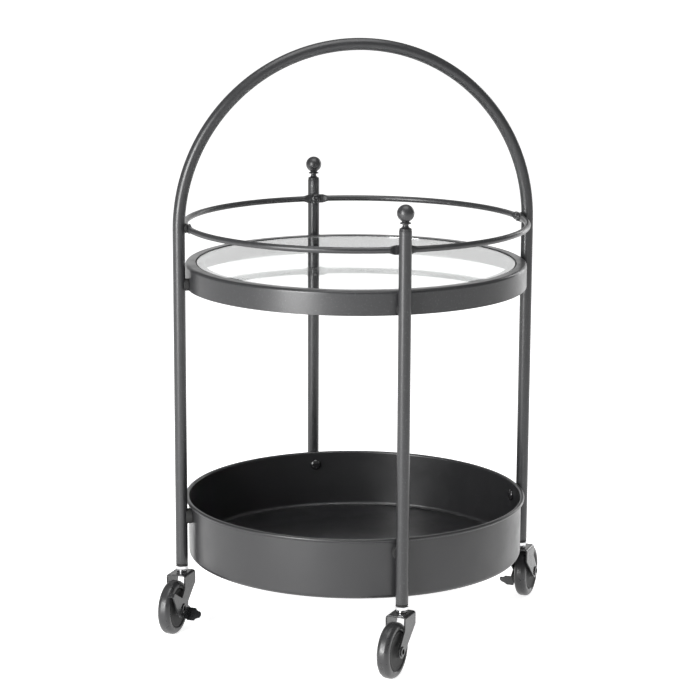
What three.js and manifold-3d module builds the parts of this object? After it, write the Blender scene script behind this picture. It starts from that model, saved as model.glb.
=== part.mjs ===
// A round two-tier bar cart on four swivel casters.
// A bent hoop and two straight posts carry a deep lower pan, a glass-topped upper tray and a thin
// gallery rail. Millimetres, +Z up, origin on the floor under the middle of the cart. The hoop
// stands in the XZ plane; the straight posts stand in front (-Y) and at the rear (+Y).

import * as THREE from 'three';
import { mergeVertices } from 'three/addons/utils/BufferGeometryUtils.js';
import Module from 'manifold-3d';

const wasm = await Module();
wasm.setup();

// ---- Driving sizes ------------------------------------------------------------------------------

const GAP = 0.3; // left between two pieces that touch

// Frame tubes. Lifts are heights above the bottom ends of the posts.
const POST_CIRCLE_RADIUS = 236; // middle of the cart to the middle of each post
const TUBE_RADIUS = 8;
const TUBE_WALL = 1.2;
const POST_LENGTH = 472.5;
const HOOP_LEG_LENGTH = 444.5; // from there the hoop is a half circle

// Finials, measured from the middle of the ball
const BALL_RADIUS = 10.8;
const BALL_LIFT = 21.9; // above the top end of its post
const COLLAR_RADIUS = 7.2;
const WAIST_RADIUS = 3.7;
const CAP_RADIUS = 7.8;
const FINIAL_PLUG_LENGTH = 12;

// Gallery rail
const RAIL_LIFT = 447.5;
const RAIL_ROD_RADIUS = 4;
const RAIL_STANDOFF = 2.3; // between the pressed flat and the post
const RAIL_FLAT_THICKNESS = 3;
const RAIL_FLAT_HEIGHT = 12;
const RAIL_FLAT_LENGTH = 18;

// Upper tray frame and its glass
const BAND_LIFT = 366;
const BAND_HEIGHT = 31;
const BAND_WALL = 1.5;
const BAND_STANDOFF = 3.9; // between the band and the posts
const BAND_TOP_ROUND = 4;
const FLANGE_WIDTH = 13.5;
const LEDGE_WIDTH = 11.6;
const GLASS_THICKNESS = 5;
const GLASS_RECESS = 1; // glass below the flange
const GLASS_SIDE_GAP = 1.4;
const BAND_SCREW_LIFT = 8; // above the band's lower edge

// Lower tray
const PAN_LIFT = 2.5;
const PAN_HEIGHT = 79.5;
const PAN_WALL = 1.2;
const PAN_STANDOFF = 5.5; // between the pan wall and the posts
const PAN_CORNER_RADIUS = 6;
const RIM_BEAD_RADIUS = 2.4;
const RIM_OVERHANG = 4.5; // of the rolled rim past the wall
const PAN_SCREW_LIFT = 61.5; // above the pan's underside

// Screws and spacers
const SHANK_RADIUS = 2.5;
const SCREW_HOLE_RADIUS = 2.8;
const SCREW_REACH = 3; // past the inside of the tube wall
const RAIL_HEAD = { radius: 6, height: 3 };
const BAND_HEAD = { radius: 5, height: 3 };
const PAN_HEAD = { radius: 7.5, height: 4.2 };
const RAIL_SPACER_RADIUS = 6;
const BAND_SPACER_RADIUS = 8;
const PAN_SPACER_RADIUS = 10;
const SADDLE_DEPTH = 3; // how far a spacer wraps round its post

// Casters
const WHEEL_RADIUS = 35.5;
const TYRE_WIDTH = 17;
const TYRE_SEAT_RADIUS = 26;
const TREAD_ROUND = 5;
const HUB_FACE_WIDTH = 13;
const HUB_BOSS_RADIUS = 8.5;
const HUB_BOSS_WIDTH = 22.4;
const AXLE_RADIUS = 4.5;
const AXLE_BORE_RADIUS = 3.2;
const AXLE_FLANGE_RADIUS = 6.4;
const AXLE_FLANGE_THICKNESS = 1.2;
const RUNNING_CLEARANCE = 0.3;
const TRAIL = 29.5; // swivel axis to axle
const FORK_PLATE = 2;
const FORK_BEND_RADIUS = 3.5;
const FORK_FRONT = 13.5; // bridge, ahead of the swivel axis
const FORK_BACK = 20.6; // bridge, behind the swivel axis
const FORK_SHOULDER_DROP = 17; // straight upper part of each leg
const FORK_END_RADIUS = 9;
const WHEEL_TO_BRIDGE = 3.8;
const PIVOT_RADIUS = 4;
const PIVOT_HEAD_RADIUS = 6.5;
const PIVOT_HEAD_HEIGHT = 1.5;
const NECK_RADIUS = 6.8;
const NECK_HEIGHT = 2.8;
const COLLAR_ACROSS_FLATS = 15.8;
const COLLAR_HEIGHT = 5.4;
const STEM_RADIUS = 5;
const STEM_LENGTH = 17; // above the collar
const INSERT_FLANGE_HEIGHT = 1.8;
const INSERT_LENGTH = 20;

// Brake levers, in the plane of the plate and measured from the axle
const LEVER_PLATE = 1.5;
const LUG_CLEARANCE = 2.6; // between the nose lug and the tread
const LUG_ANGLES = [36, 45]; // degrees above the horizontal, on the trailing side
const LUG_REACH = 6; // inwards, over the tread
const LEVER_SHOULDER = [-3, 14]; // upper edge of the plate, over the axle
const LEVER_FOOT = [[0, -13], [-15, -8]]; // lower edge of the plate, under the axle
const PEDAL_EDGE = [[22, -5.5], [13, -20.5]];
const PEDAL_REACH = 19;
const PEDAL_TIP_SHARE = 0.55; // width at the tip over width at the root

// Facets
const RING_SEGMENTS = 40;
const WHEEL_SEGMENTS = 20;
const TUBE_SEGMENTS = 12;
const BORE_SEGMENTS = 8;
const SMALL_SEGMENTS = 8;
const HOOP_ARC_STEPS = 24;
const RAIL_STEPS = 56;
const RAIL_SIDES = 8;
const RAIL_CROWDING = 0.7; // how strongly the rail's steps gather at the posts

// Where the posts stand and where each caster heads, in degrees
const STATIONS = {
  right: { angle: 0, heading: 235.5, brake: true },
  rear: { angle: 90, heading: 231.5, brake: false },
  left: { angle: 180, heading: 55.5, brake: true },
  front: { angle: 270, heading: 51.5, brake: false },
};

// ---- Sizes that follow --------------------------------------------------------------------------

const POST_FACE_RADIUS = POST_CIRCLE_RADIUS - TUBE_RADIUS;
const TUBE_INNER_RADIUS = TUBE_RADIUS - TUBE_WALL;
const BRIDGE_TOP = 2 * WHEEL_RADIUS + WHEEL_TO_BRIDGE + FORK_PLATE;
const COLLAR_BOTTOM = BRIDGE_TOP + GAP + NECK_HEIGHT;
const INSERT_BOTTOM = COLLAR_BOTTOM + COLLAR_HEIGHT + GAP;
const POST_BOTTOM = INSERT_BOTTOM + INSERT_FLANGE_HEIGHT + GAP;
const FORK_HALF_INNER = HUB_BOSS_WIDTH / 2 + GAP;
const FORK_HALF_OUTER = FORK_HALF_INNER + FORK_PLATE;
const RAIL_RADIUS = POST_FACE_RADIUS - RAIL_STANDOFF - RAIL_FLAT_THICKNESS / 2;
const BAND_RADIUS = POST_FACE_RADIUS - BAND_STANDOFF;
const STEP_RADIUS = BAND_RADIUS - FLANGE_WIDTH;
const GLASS_RADIUS = STEP_RADIUS - GLASS_SIDE_GAP;
const LEDGE_DROP = GLASS_RECESS + GLASS_THICKNESS + GAP;
const PAN_RADIUS = POST_FACE_RADIUS - PAN_STANDOFF;

const radians = THREE.MathUtils.degToRad;

// ---- Solids -------------------------------------------------------------------------------------

/** Circle radius for corners, so that the flats of the polygon lie at the given radius. */
const flatsAt = (radius, segments) => radius / Math.cos(Math.PI / segments);

/** Merges a geometry's shared corners, drops slivers and turns its faces outwards. */
function closedGeometry(geometry) {
  const bare = geometry.clone();
  bare.deleteAttribute('normal');
  bare.deleteAttribute('uv');
  const merged = mergeVertices(bare, 1e-3);
  const index = Array.from(merged.index.array);
  const place = merged.attributes.position;
  const corner = (i) => new THREE.Vector3().fromBufferAttribute(place, i);
  const faces = [];
  let volume = 0;
  for (let i = 0; i < index.length; i += 3) {
    const [a, b, c] = index.slice(i, i + 3);
    if (a === b || b === c || c === a) continue;
    faces.push([a, b, c]);
    volume += corner(a).dot(corner(b).cross(corner(c)));
  }
  merged.setIndex(faces.flatMap(([a, b, c]) => (volume < 0 ? [a, c, b] : [a, b, c])));
  return merged;
}

/** A solid for cutting and joining. */
function solid(geometry) {
  const { attributes, index } = closedGeometry(geometry);
  const mesh = new wasm.Mesh({
    numProp: 3,
    vertProperties: Float32Array.from(attributes.position.array),
    triVerts: Uint32Array.from(index.array),
  });
  mesh.merge();
  return new wasm.Manifold(mesh);
}

/** The geometry of a solid that has been cut or joined. */
function geometryOf(body) {
  const { vertProperties, triVerts } = body.getMesh();
  const geometry = new THREE.BufferGeometry();
  geometry.setAttribute('position', new THREE.BufferAttribute(Float32Array.from(vertProperties), 3));
  geometry.setIndex(Array.from(triVerts));
  return geometry;
}

/** Turns [radius, height] points about the Z axis. Its flats face the four sides of the frame. */
function turned(profile, segments) {
  const points = profile.map(([radius, height]) => new THREE.Vector2(radius, height));
  const geometry = new THREE.LatheGeometry(points, segments, Math.PI / segments);
  return geometry.rotateX(Math.PI / 2);
}

/** The same, with the radii measured to the flats. */
function turnedToFlats(profile, segments) {
  return turned(profile.map(([radius, height]) => [flatsAt(radius, segments), height]), segments);
}

/** A closed [radius, height] outline for a tube section between two heights. */
const sleeve = (outer, inner, low, high) => [
  [inner, low], [outer, low], [outer, high], [inner, high], [inner, low],
];

/** Points on an arc of an outline, from one angle to another in degrees. */
function arc(centre, radius, from, to, steps) {
  return Array.from({ length: steps + 1 }, (_, i) => {
    const angle = radians(from + ((to - from) * i) / steps);
    return [centre[0] + radius * Math.cos(angle), centre[1] + radius * Math.sin(angle)];
  });
}

/** Lays a piece made along +Z down along +X, the outward direction of a station. */
const alongX = (geometry) => geometry.rotateY(Math.PI / 2);

/** Lays a piece made along +Z down along -Y, the direction of an axle. */
const alongY = (geometry) => geometry.rotateX(Math.PI / 2);

/** A flat plate in the XZ plane, from y = 0 towards -Y. */
function plateXZ(outline, thickness) {
  const shape = new THREE.Shape(outline.map(([x, z]) => new THREE.Vector2(x, z)));
  const geometry = new THREE.ExtrudeGeometry(shape, { depth: thickness, bevelEnabled: false });
  return geometry.rotateX(Math.PI / 2);
}

/** Where a tangent from a point touches a circle. side is +1 or -1. */
function tangentPoint(point, centre, radius, side) {
  const [dx, dz] = [point[0] - centre[0], point[1] - centre[1]];
  const angle = Math.atan2(dz, dx) + side * Math.acos(radius / Math.hypot(dx, dz));
  return [centre[0] + radius * Math.cos(angle), centre[1] + radius * Math.sin(angle)];
}

// ---- Finishes -----------------------------------------------------------------------------------

const finishes = {
  powderCoat: { color: 0x45464a, roughness: 0.45, metalness: 0.4 },
  panCoat: { color: 0x303134, roughness: 0.5, metalness: 0.35 },
  blackScrew: { color: 0x101011, roughness: 0.2, metalness: 0.6 },
  blackPlastic: { color: 0x161617, roughness: 0.5, metalness: 0 },
  glass: { color: 0xe8efec, roughness: 0.03, metalness: 0, transparent: true, opacity: 0.35 },
  chrome: { color: 0xd9dadc, roughness: 0.12, metalness: 1 },
  blackSteel: { color: 0x1c1d1f, roughness: 0.3, metalness: 0.6 },
  wheelCore: { color: 0x202123, roughness: 0.45, metalness: 0 },
  tread: { color: 0x18191a, roughness: 0.55, metalness: 0 },
};

for (const key of Object.keys(finishes)) {
  finishes[key] = new THREE.MeshStandardMaterial(finishes[key]);
}

/** Adds a named piece to a group. */
function addPiece(group, name, geometry, finish) {
  const mesh = new THREE.Mesh(closedGeometry(geometry), finishes[finish]);
  mesh.name = name;
  group.add(mesh);
}

// ---- Fixings: what holds each ring to the posts ---------------------------------------------------

const railFixing = {
  name: 'rail',
  height: POST_BOTTOM + RAIL_LIFT,
  inner: RAIL_RADIUS - RAIL_FLAT_THICKNESS / 2,
  outer: RAIL_RADIUS + RAIL_FLAT_THICKNESS / 2,
  head: RAIL_HEAD,
  spacerRadius: RAIL_SPACER_RADIUS,
};
const bandFixing = {
  name: 'upper_tray',
  height: POST_BOTTOM + BAND_LIFT + BAND_SCREW_LIFT,
  inner: BAND_RADIUS - BAND_WALL,
  outer: BAND_RADIUS,
  head: BAND_HEAD,
  spacerRadius: BAND_SPACER_RADIUS,
};
const panFixing = {
  name: 'lower_tray',
  height: POST_BOTTOM + PAN_LIFT + PAN_SCREW_LIFT,
  inner: PAN_RADIUS - PAN_WALL,
  outer: PAN_RADIUS,
  head: PAN_HEAD,
  spacerRadius: PAN_SPACER_RADIUS,
};
const FIXINGS = [railFixing, bandFixing, panFixing];

/** Radial cutter for a screw hole at a station, between two distances from the cart's axis. */
function holeCutter(fixing, angle, from, to) {
  const corners = flatsAt(SCREW_HOLE_RADIUS, SMALL_SEGMENTS);
  const bar = new THREE.CylinderGeometry(corners, corners, to - from, SMALL_SEGMENTS);
  bar.rotateZ(Math.PI / 2).translate((from + to) / 2, 0, fixing.height).rotateZ(radians(angle));
  return solid(bar);
}

/** Drills a ring for the screws of all four posts. */
function drillRing(geometry, fixing) {
  const margin = RIM_OVERHANG;
  let body = solid(geometry);
  for (const { angle } of Object.values(STATIONS)) {
    body = body.subtract(holeCutter(fixing, angle, fixing.inner - margin, fixing.outer + margin));
  }
  return geometryOf(body);
}

/** Drills the cart-side wall of the tubes at the named stations. */
function drillPosts(geometry, stations) {
  let body = solid(geometry);
  for (const name of stations) {
    for (const fixing of FIXINGS) {
      const { angle } = STATIONS[name];
      body = body.subtract(holeCutter(fixing, angle, fixing.outer, POST_CIRCLE_RADIUS));
    }
  }
  return geometryOf(body);
}

/** Button-head screw, made along +X: head inside the ring, shank through to inside the tube. */
function screwGeometry({ inner, head }) {
  const seat = inner - GAP;
  const tip = POST_FACE_RADIUS + TUBE_WALL + SCREW_REACH;
  const profile = [
    [0, seat - head.height], [head.radius * 0.55, seat - head.height * 0.85],
    [head.radius * 0.9, seat - head.height * 0.45], [head.radius, seat],
    [SHANK_RADIUS, seat], [SHANK_RADIUS, tip], [0, tip],
  ];
  return alongX(turned(profile, SMALL_SEGMENTS));
}

/** Spacer sleeve, made along +X: flat on the ring and hollowed to sit round the post. */
function spacerGeometry({ outer, height, spacerRadius }) {
  const bore = flatsAt(SCREW_HOLE_RADIUS, SMALL_SEGMENTS);
  const end = POST_FACE_RADIUS + SADDLE_DEPTH;
  const ring = alongX(turned(sleeve(spacerRadius, bore, outer + GAP, end), SMALL_SEGMENTS));
  const post = turnedToFlats([[0, -height], [TUBE_RADIUS + GAP, -height],
    [TUBE_RADIUS + GAP, height], [0, height]], TUBE_SEGMENTS);
  post.translate(POST_CIRCLE_RADIUS, 0, 0);
  return geometryOf(solid(ring).subtract(solid(post)));
}

// ---- Frame --------------------------------------------------------------------------------------

/** Centre line of the hoop: up one leg, over the half circle and down the other. */
class HoopPath extends THREE.Curve {
  getUtoTmapping(u) {
    return u; // one step for each leg, the rest for the arc
  }

  getPoint(t) {
    const step = t * (HOOP_ARC_STEPS + 2);
    const spring = POST_BOTTOM + HOOP_LEG_LENGTH;
    if (step <= 1) {
      return new THREE.Vector3(-POST_CIRCLE_RADIUS, 0, POST_BOTTOM + HOOP_LEG_LENGTH * step);
    }
    if (step >= HOOP_ARC_STEPS + 1) {
      const left = HOOP_ARC_STEPS + 2 - step;
      return new THREE.Vector3(POST_CIRCLE_RADIUS, 0, POST_BOTTOM + HOOP_LEG_LENGTH * left);
    }
    const angle = Math.PI * (1 - (step - 1) / HOOP_ARC_STEPS);
    const [x, z] = [Math.cos(angle), Math.sin(angle)];
    return new THREE.Vector3(POST_CIRCLE_RADIUS * x, 0, spring + POST_CIRCLE_RADIUS * z);
  }
}

function hoopGeometry() {
  const ring = (radius, count) => Array.from({ length: count }, (_, i) => {
    const angle = (2 * Math.PI * (i + 0.5)) / count;
    return new THREE.Vector2(radius * Math.cos(angle), radius * Math.sin(angle));
  });
  const section = new THREE.Shape(ring(TUBE_RADIUS, TUBE_SEGMENTS));
  section.holes.push(new THREE.Path(ring(flatsAt(TUBE_INNER_RADIUS, BORE_SEGMENTS), BORE_SEGMENTS)));
  return new THREE.ExtrudeGeometry(section, {
    extrudePath: new HoopPath(), steps: HOOP_ARC_STEPS + 2, bevelEnabled: false,
  });
}

function postGeometry() {
  const bore = flatsAt(TUBE_INNER_RADIUS, TUBE_SEGMENTS);
  return turned(sleeve(TUBE_RADIUS, bore, POST_BOTTOM, POST_BOTTOM + POST_LENGTH), TUBE_SEGMENTS);
}

/** Ball, neck, collar, waist and cap in one turning, with a plug for the tube below. */
function finialGeometry() {
  const capBottom = -BALL_LIFT + GAP;
  const plug = TUBE_INNER_RADIUS - GAP;
  const profile = [
    [0, capBottom - FINIAL_PLUG_LENGTH], [plug, capBottom - FINIAL_PLUG_LENGTH],
    [plug, capBottom], [CAP_RADIUS, capBottom], [CAP_RADIUS, capBottom + 2.2],
    [WAIST_RADIUS * 1.3, capBottom + 5], [WAIST_RADIUS, capBottom + 7],
    [COLLAR_RADIUS, capBottom + 9.2], [COLLAR_RADIUS, capBottom + 10], [4.8, capBottom + 12],
    ...arc([0, 0], BALL_RADIUS, -60, 90, 6),
  ];
  profile[profile.length - 1][0] = 0;
  return turned(profile, TUBE_SEGMENTS).translate(0, 0, POST_BOTTOM + POST_LENGTH + BALL_LIFT);
}

/** Rod ring whose round section is pressed flat and tall at the four posts. */
function railGeometry() {
  const ring = new THREE.TorusGeometry(RAIL_RADIUS, RAIL_ROD_RADIUS, RAIL_SIDES, RAIL_STEPS);
  ring.deleteAttribute('normal');
  ring.deleteAttribute('uv');
  const rail = mergeVertices(ring, 1e-3);
  const place = rail.attributes.position;
  const halfSide = Math.PI / RAIL_SIDES;
  const flatDepth = RAIL_FLAT_THICKNESS / 2 / (RAIL_ROD_RADIUS * Math.cos(halfSide));
  const flatHeight = RAIL_FLAT_HEIGHT / 2 / (RAIL_ROD_RADIUS * Math.cos(halfSide));
  for (let i = 0; i < place.count; i += 1) {
    const even = Math.atan2(place.getY(i), place.getX(i));
    const angle = even - (RAIL_CROWDING / 4) * Math.sin(4 * even);
    const fromPost = Math.abs(Math.sin(2 * angle)) * RAIL_RADIUS / 2;
    const press = 1 - THREE.MathUtils.smoothstep(fromPost, RAIL_FLAT_LENGTH / 2, RAIL_FLAT_LENGTH);
    const out = Math.hypot(place.getX(i), place.getY(i)) - RAIL_RADIUS;
    const section = new THREE.Vector2(out, place.getZ(i));
    section.rotateAround(new THREE.Vector2(), halfSide);
    const radius = RAIL_RADIUS + section.x * THREE.MathUtils.lerp(1, flatDepth, press);
    const height = section.y * THREE.MathUtils.lerp(1, flatHeight, press);
    place.setXYZ(i, radius * Math.cos(angle), radius * Math.sin(angle), height);
  }
  return rail.translate(0, 0, railFixing.height);
}

/** Sheet ring: outer band, rounded top edge, flange, step and the ledge that carries the glass. */
function bandGeometry() {
  const base = POST_BOTTOM + BAND_LIFT;
  const top = base + BAND_HEIGHT;
  const round = [BAND_RADIUS - BAND_TOP_ROUND, top - BAND_TOP_ROUND];
  const ledge = top - LEDGE_DROP;
  const innerRound = BAND_TOP_ROUND - BAND_WALL;
  const profile = [
    [BAND_RADIUS, base], ...arc(round, BAND_TOP_ROUND, 0, 90, 3), [STEP_RADIUS, top],
    [STEP_RADIUS, ledge], [STEP_RADIUS - LEDGE_WIDTH, ledge],
    [STEP_RADIUS - LEDGE_WIDTH, ledge - BAND_WALL], [STEP_RADIUS + BAND_WALL, ledge - BAND_WALL],
    [STEP_RADIUS + BAND_WALL, top - BAND_WALL], ...arc(round, innerRound, 90, 0, 2),
    [BAND_RADIUS - BAND_WALL, base], [BAND_RADIUS, base],
  ];
  return turnedToFlats(profile, RING_SEGMENTS);
}

function glassGeometry() {
  const top = POST_BOTTOM + BAND_LIFT + BAND_HEIGHT - GLASS_RECESS;
  const low = top - GLASS_THICKNESS;
  const profile = [[0, low], [GLASS_RADIUS, low], [GLASS_RADIUS, top], [0, top]];
  return turnedToFlats(profile, RING_SEGMENTS);
}

/** Pan: flat floor, rounded corner, upright wall and a rim rolled outwards. */
function panGeometry() {
  const base = POST_BOTTOM + PAN_LIFT;
  const inside = PAN_RADIUS - PAN_WALL;
  const bead = [PAN_RADIUS + RIM_OVERHANG - RIM_BEAD_RADIUS, base + PAN_HEIGHT - RIM_BEAD_RADIUS];
  const corner = [PAN_RADIUS - PAN_CORNER_RADIUS, base + PAN_CORNER_RADIUS];
  const profile = [
    [0, base], ...arc(corner, PAN_CORNER_RADIUS, -90, 0, 3),
    ...arc(bead, RIM_BEAD_RADIUS, -150, 90, 5), [inside + 0.6, base + PAN_HEIGHT - 0.5],
    [inside, base + PAN_HEIGHT - RIM_BEAD_RADIUS],
    ...arc(corner, PAN_CORNER_RADIUS - PAN_WALL, 0, -90, 3), [0, base + PAN_WALL],
  ];
  return turnedToFlats(profile, RING_SEGMENTS);
}

/** Plastic plug in the bottom of a tube, with a flange under the tube's edge. */
function insertGeometry() {
  const plug = TUBE_INNER_RADIUS - GAP;
  const bore = flatsAt(STEM_RADIUS + GAP, SMALL_SEGMENTS);
  const flangeTop = INSERT_BOTTOM + INSERT_FLANGE_HEIGHT;
  return turned([
    [bore, INSERT_BOTTOM], [TUBE_RADIUS, INSERT_BOTTOM], [TUBE_RADIUS, flangeTop],
    [plug, flangeTop], [plug, INSERT_BOTTOM + INSERT_LENGTH],
    [bore, INSERT_BOTTOM + INSERT_LENGTH], [bore, INSERT_BOTTOM],
  ], SMALL_SEGMENTS);
}

/** Chrome stem: shank in the insert, hexagon collar, neck, pivot through the fork and its head. */
function stemGeometry() {
  const bridgeBottom = BRIDGE_TOP - FORK_PLATE;
  const headTop = bridgeBottom - GAP;
  const rod = turned([
    [0, headTop - PIVOT_HEAD_HEIGHT], [PIVOT_HEAD_RADIUS, headTop - PIVOT_HEAD_HEIGHT],
    [PIVOT_HEAD_RADIUS, headTop], [PIVOT_RADIUS, headTop], [PIVOT_RADIUS, BRIDGE_TOP + GAP],
    [NECK_RADIUS, BRIDGE_TOP + GAP], [NECK_RADIUS, COLLAR_BOTTOM], [STEM_RADIUS, COLLAR_BOTTOM],
    [STEM_RADIUS, INSERT_BOTTOM - GAP + STEM_LENGTH], [0, INSERT_BOTTOM - GAP + STEM_LENGTH],
  ], SMALL_SEGMENTS);
  const half = COLLAR_ACROSS_FLATS / 2;
  const hexagon = turnedToFlats([
    [0, COLLAR_BOTTOM], [half, COLLAR_BOTTOM], [half, COLLAR_BOTTOM + COLLAR_HEIGHT],
    [0, COLLAR_BOTTOM + COLLAR_HEIGHT],
  ], 6);
  return geometryOf(solid(rod).add(solid(hexagon)));
}

// ---- Casters, made heading along +X with the swivel axis at the origin ---------------------------

/** Side view of the fork: square shoulders under the bridge, tapering legs, round ends. */
function forkOutline() {
  const axle = [-TRAIL, WHEEL_RADIUS];
  const shoulder = BRIDGE_TOP - FORK_SHOULDER_DROP;
  const front = [FORK_FRONT, shoulder];
  const back = [-FORK_BACK, shoulder];
  const frontTouch = tangentPoint(front, axle, FORK_END_RADIUS, -1);
  const backTouch = tangentPoint(back, axle, FORK_END_RADIUS, 1);
  const angleOf = ([x, z]) => THREE.MathUtils.radToDeg(Math.atan2(z - axle[1], x - axle[0]));
  const from = angleOf(frontTouch);
  const to = angleOf(backTouch) - 360;
  const corner = FORK_BEND_RADIUS;
  const topFront = [FORK_FRONT - corner, BRIDGE_TOP - corner];
  const topBack = [-FORK_BACK + corner, BRIDGE_TOP - corner];
  return [
    ...arc(axle, FORK_END_RADIUS, from, to, 7), back, ...arc(topBack, corner, 180, 90, 2),
    ...arc(topFront, corner, 90, 0, 2), front,
  ];
}

/** End view of the fork: an upside-down U with rounded bends. */
function forkSection() {
  const low = WHEEL_RADIUS - 2 * FORK_END_RADIUS;
  const bend = BRIDGE_TOP - FORK_BEND_RADIUS;
  const middle = FORK_HALF_OUTER - FORK_BEND_RADIUS;
  const inner = FORK_BEND_RADIUS - FORK_PLATE;
  return [
    [FORK_HALF_OUTER, low], ...arc([middle, bend], FORK_BEND_RADIUS, 0, 90, 3),
    ...arc([-middle, bend], FORK_BEND_RADIUS, 90, 180, 3), [-FORK_HALF_OUTER, low],
    [-FORK_HALF_INNER, low], ...arc([-middle, bend], inner, 180, 90, 2),
    ...arc([middle, bend], inner, 90, 0, 2), [FORK_HALF_INNER, low],
  ];
}

/** Fork: the U section carried along the heading, trimmed to its side view and drilled. */
function forkGeometry() {
  const length = 2 * (TRAIL + FORK_END_RADIUS);
  const section = new THREE.Shape(forkSection().map(([y, z]) => new THREE.Vector2(y, z)));
  const channel = new THREE.ExtrudeGeometry(section, { depth: 2 * length, bevelEnabled: false });
  channel.rotateX(Math.PI / 2).rotateZ(Math.PI / 2).translate(-length, 0, 0);
  const side = plateXZ(forkOutline(), 4 * FORK_HALF_OUTER).translate(0, 2 * FORK_HALF_OUTER, 0);
  const pivotHole = flatsAt(PIVOT_RADIUS + RUNNING_CLEARANCE, SMALL_SEGMENTS);
  const pivot = turned([[0, WHEEL_RADIUS * 1.5], [pivotHole, WHEEL_RADIUS * 1.5],
    [pivotHole, BRIDGE_TOP + FORK_PLATE], [0, BRIDGE_TOP + FORK_PLATE]], SMALL_SEGMENTS);
  const axleHole = flatsAt(AXLE_RADIUS + GAP, SMALL_SEGMENTS);
  const reach = 2 * FORK_HALF_OUTER;
  const axle = alongY(turned([[0, -reach], [axleHole, -reach], [axleHole, reach], [0, reach]],
    SMALL_SEGMENTS)).translate(-TRAIL, 0, WHEEL_RADIUS);
  return geometryOf(solid(channel).intersect(solid(side)).subtract(solid(pivot))
    .subtract(solid(axle)));
}

/** Hollow rivet with a rolled flange outside each leg. extra lengthens its -Y end. */
function axleGeometry(extra) {
  const bore = flatsAt(AXLE_BORE_RADIUS, SMALL_SEGMENTS);
  const near = FORK_HALF_OUTER + GAP + extra;
  const far = -FORK_HALF_OUTER - GAP;
  return alongY(turned([
    [bore, far - AXLE_FLANGE_THICKNESS], [AXLE_FLANGE_RADIUS, far - AXLE_FLANGE_THICKNESS],
    [AXLE_FLANGE_RADIUS, far], [AXLE_RADIUS, far], [AXLE_RADIUS, near],
    [AXLE_FLANGE_RADIUS, near], [AXLE_FLANGE_RADIUS, near + AXLE_FLANGE_THICKNESS],
    [bore, near + AXLE_FLANGE_THICKNESS], [bore, far - AXLE_FLANGE_THICKNESS],
  ], SMALL_SEGMENTS)).translate(-TRAIL, 0, WHEEL_RADIUS);
}

function hubGeometry() {
  const bore = flatsAt(AXLE_RADIUS + RUNNING_CLEARANCE, WHEEL_SEGMENTS);
  const [face, boss] = [HUB_FACE_WIDTH / 2, HUB_BOSS_WIDTH / 2];
  const edge = TYRE_SEAT_RADIUS - GAP;
  return alongY(turned([
    [bore, -boss], [HUB_BOSS_RADIUS, -boss], [HUB_BOSS_RADIUS, -face], [edge, -face],
    [edge, face], [HUB_BOSS_RADIUS, face], [HUB_BOSS_RADIUS, boss], [bore, boss], [bore, -boss],
  ], WHEEL_SEGMENTS)).translate(-TRAIL, 0, WHEEL_RADIUS);
}

/** Tread with rounded shoulders; one of its flats lies on the floor. */
function tyreGeometry() {
  const half = TYRE_WIDTH / 2;
  const shoulder = WHEEL_RADIUS - TREAD_ROUND;
  const profile = [
    [TYRE_SEAT_RADIUS, -half], ...arc([shoulder, -half + TREAD_ROUND], TREAD_ROUND, -90, 0, 2),
    ...arc([shoulder, half - TREAD_ROUND], TREAD_ROUND, 0, 90, 2), [TYRE_SEAT_RADIUS, half],
    [TYRE_SEAT_RADIUS, -half],
  ];
  return alongY(turnedToFlats(profile, WHEEL_SEGMENTS)).translate(-TRAIL, 0, WHEEL_RADIUS);
}

/** Stamped brake lever: plate on the axle, lug bent in over the tread, pedal bent outwards. */
function brakeLeverGeometry() {
  const lugRadius = WHEEL_RADIUS + LUG_CLEARANCE;
  const onNose = (radius, degrees) => {
    const angle = radians(180 - degrees);
    return [radius * Math.cos(angle), radius * Math.sin(angle)];
  };
  const [low, high] = LUG_ANGLES;
  const outer = lugRadius + LEVER_PLATE;
  const outline = [
    onNose(outer, low), onNose(outer, high), LEVER_SHOULDER, ...PEDAL_EDGE, ...LEVER_FOOT,
  ].reverse();
  const inner = FORK_HALF_OUTER + GAP;
  const plate = plateXZ(outline, LEVER_PLATE).translate(0, -inner, 0);
  const lug = plateXZ([onNose(lugRadius, low), onNose(outer, low), onNose(outer, high),
    onNose(lugRadius, high)], LEVER_PLATE + LUG_REACH).translate(0, LUG_REACH - inner, 0);

  const [root, end] = PEDAL_EDGE.map(([x, z]) => new THREE.Vector3(x, 0, z));
  const along = end.clone().sub(root);
  const width = along.length();
  const spare = (width * (1 - PEDAL_TIP_SHARE)) / 2;
  const tab = new THREE.Shape([
    new THREE.Vector2(0, 0), new THREE.Vector2(width, 0),
    new THREE.Vector2(width - spare, PEDAL_REACH), new THREE.Vector2(spare, PEDAL_REACH),
  ]);
  const pedal = new THREE.ExtrudeGeometry(tab, { depth: LEVER_PLATE, bevelEnabled: false });
  const sideways = new THREE.Vector3(0, -1, 0);
  const up = along.normalize().clone().cross(sideways);
  pedal.applyMatrix4(new THREE.Matrix4().makeBasis(along, sideways, up));
  pedal.translate(root.x, -inner, root.z);

  const hole = flatsAt(AXLE_RADIUS + RUNNING_CLEARANCE, SMALL_SEGMENTS);
  const reach = 2 * FORK_HALF_OUTER;
  const bore = alongY(turned([[0, 0], [hole, 0], [hole, reach], [0, reach]], SMALL_SEGMENTS));
  const lever = solid(plate).add(solid(lug)).add(solid(pedal)).subtract(solid(bore));
  return geometryOf(lever).translate(-TRAIL, 0, WHEEL_RADIUS);
}

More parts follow.
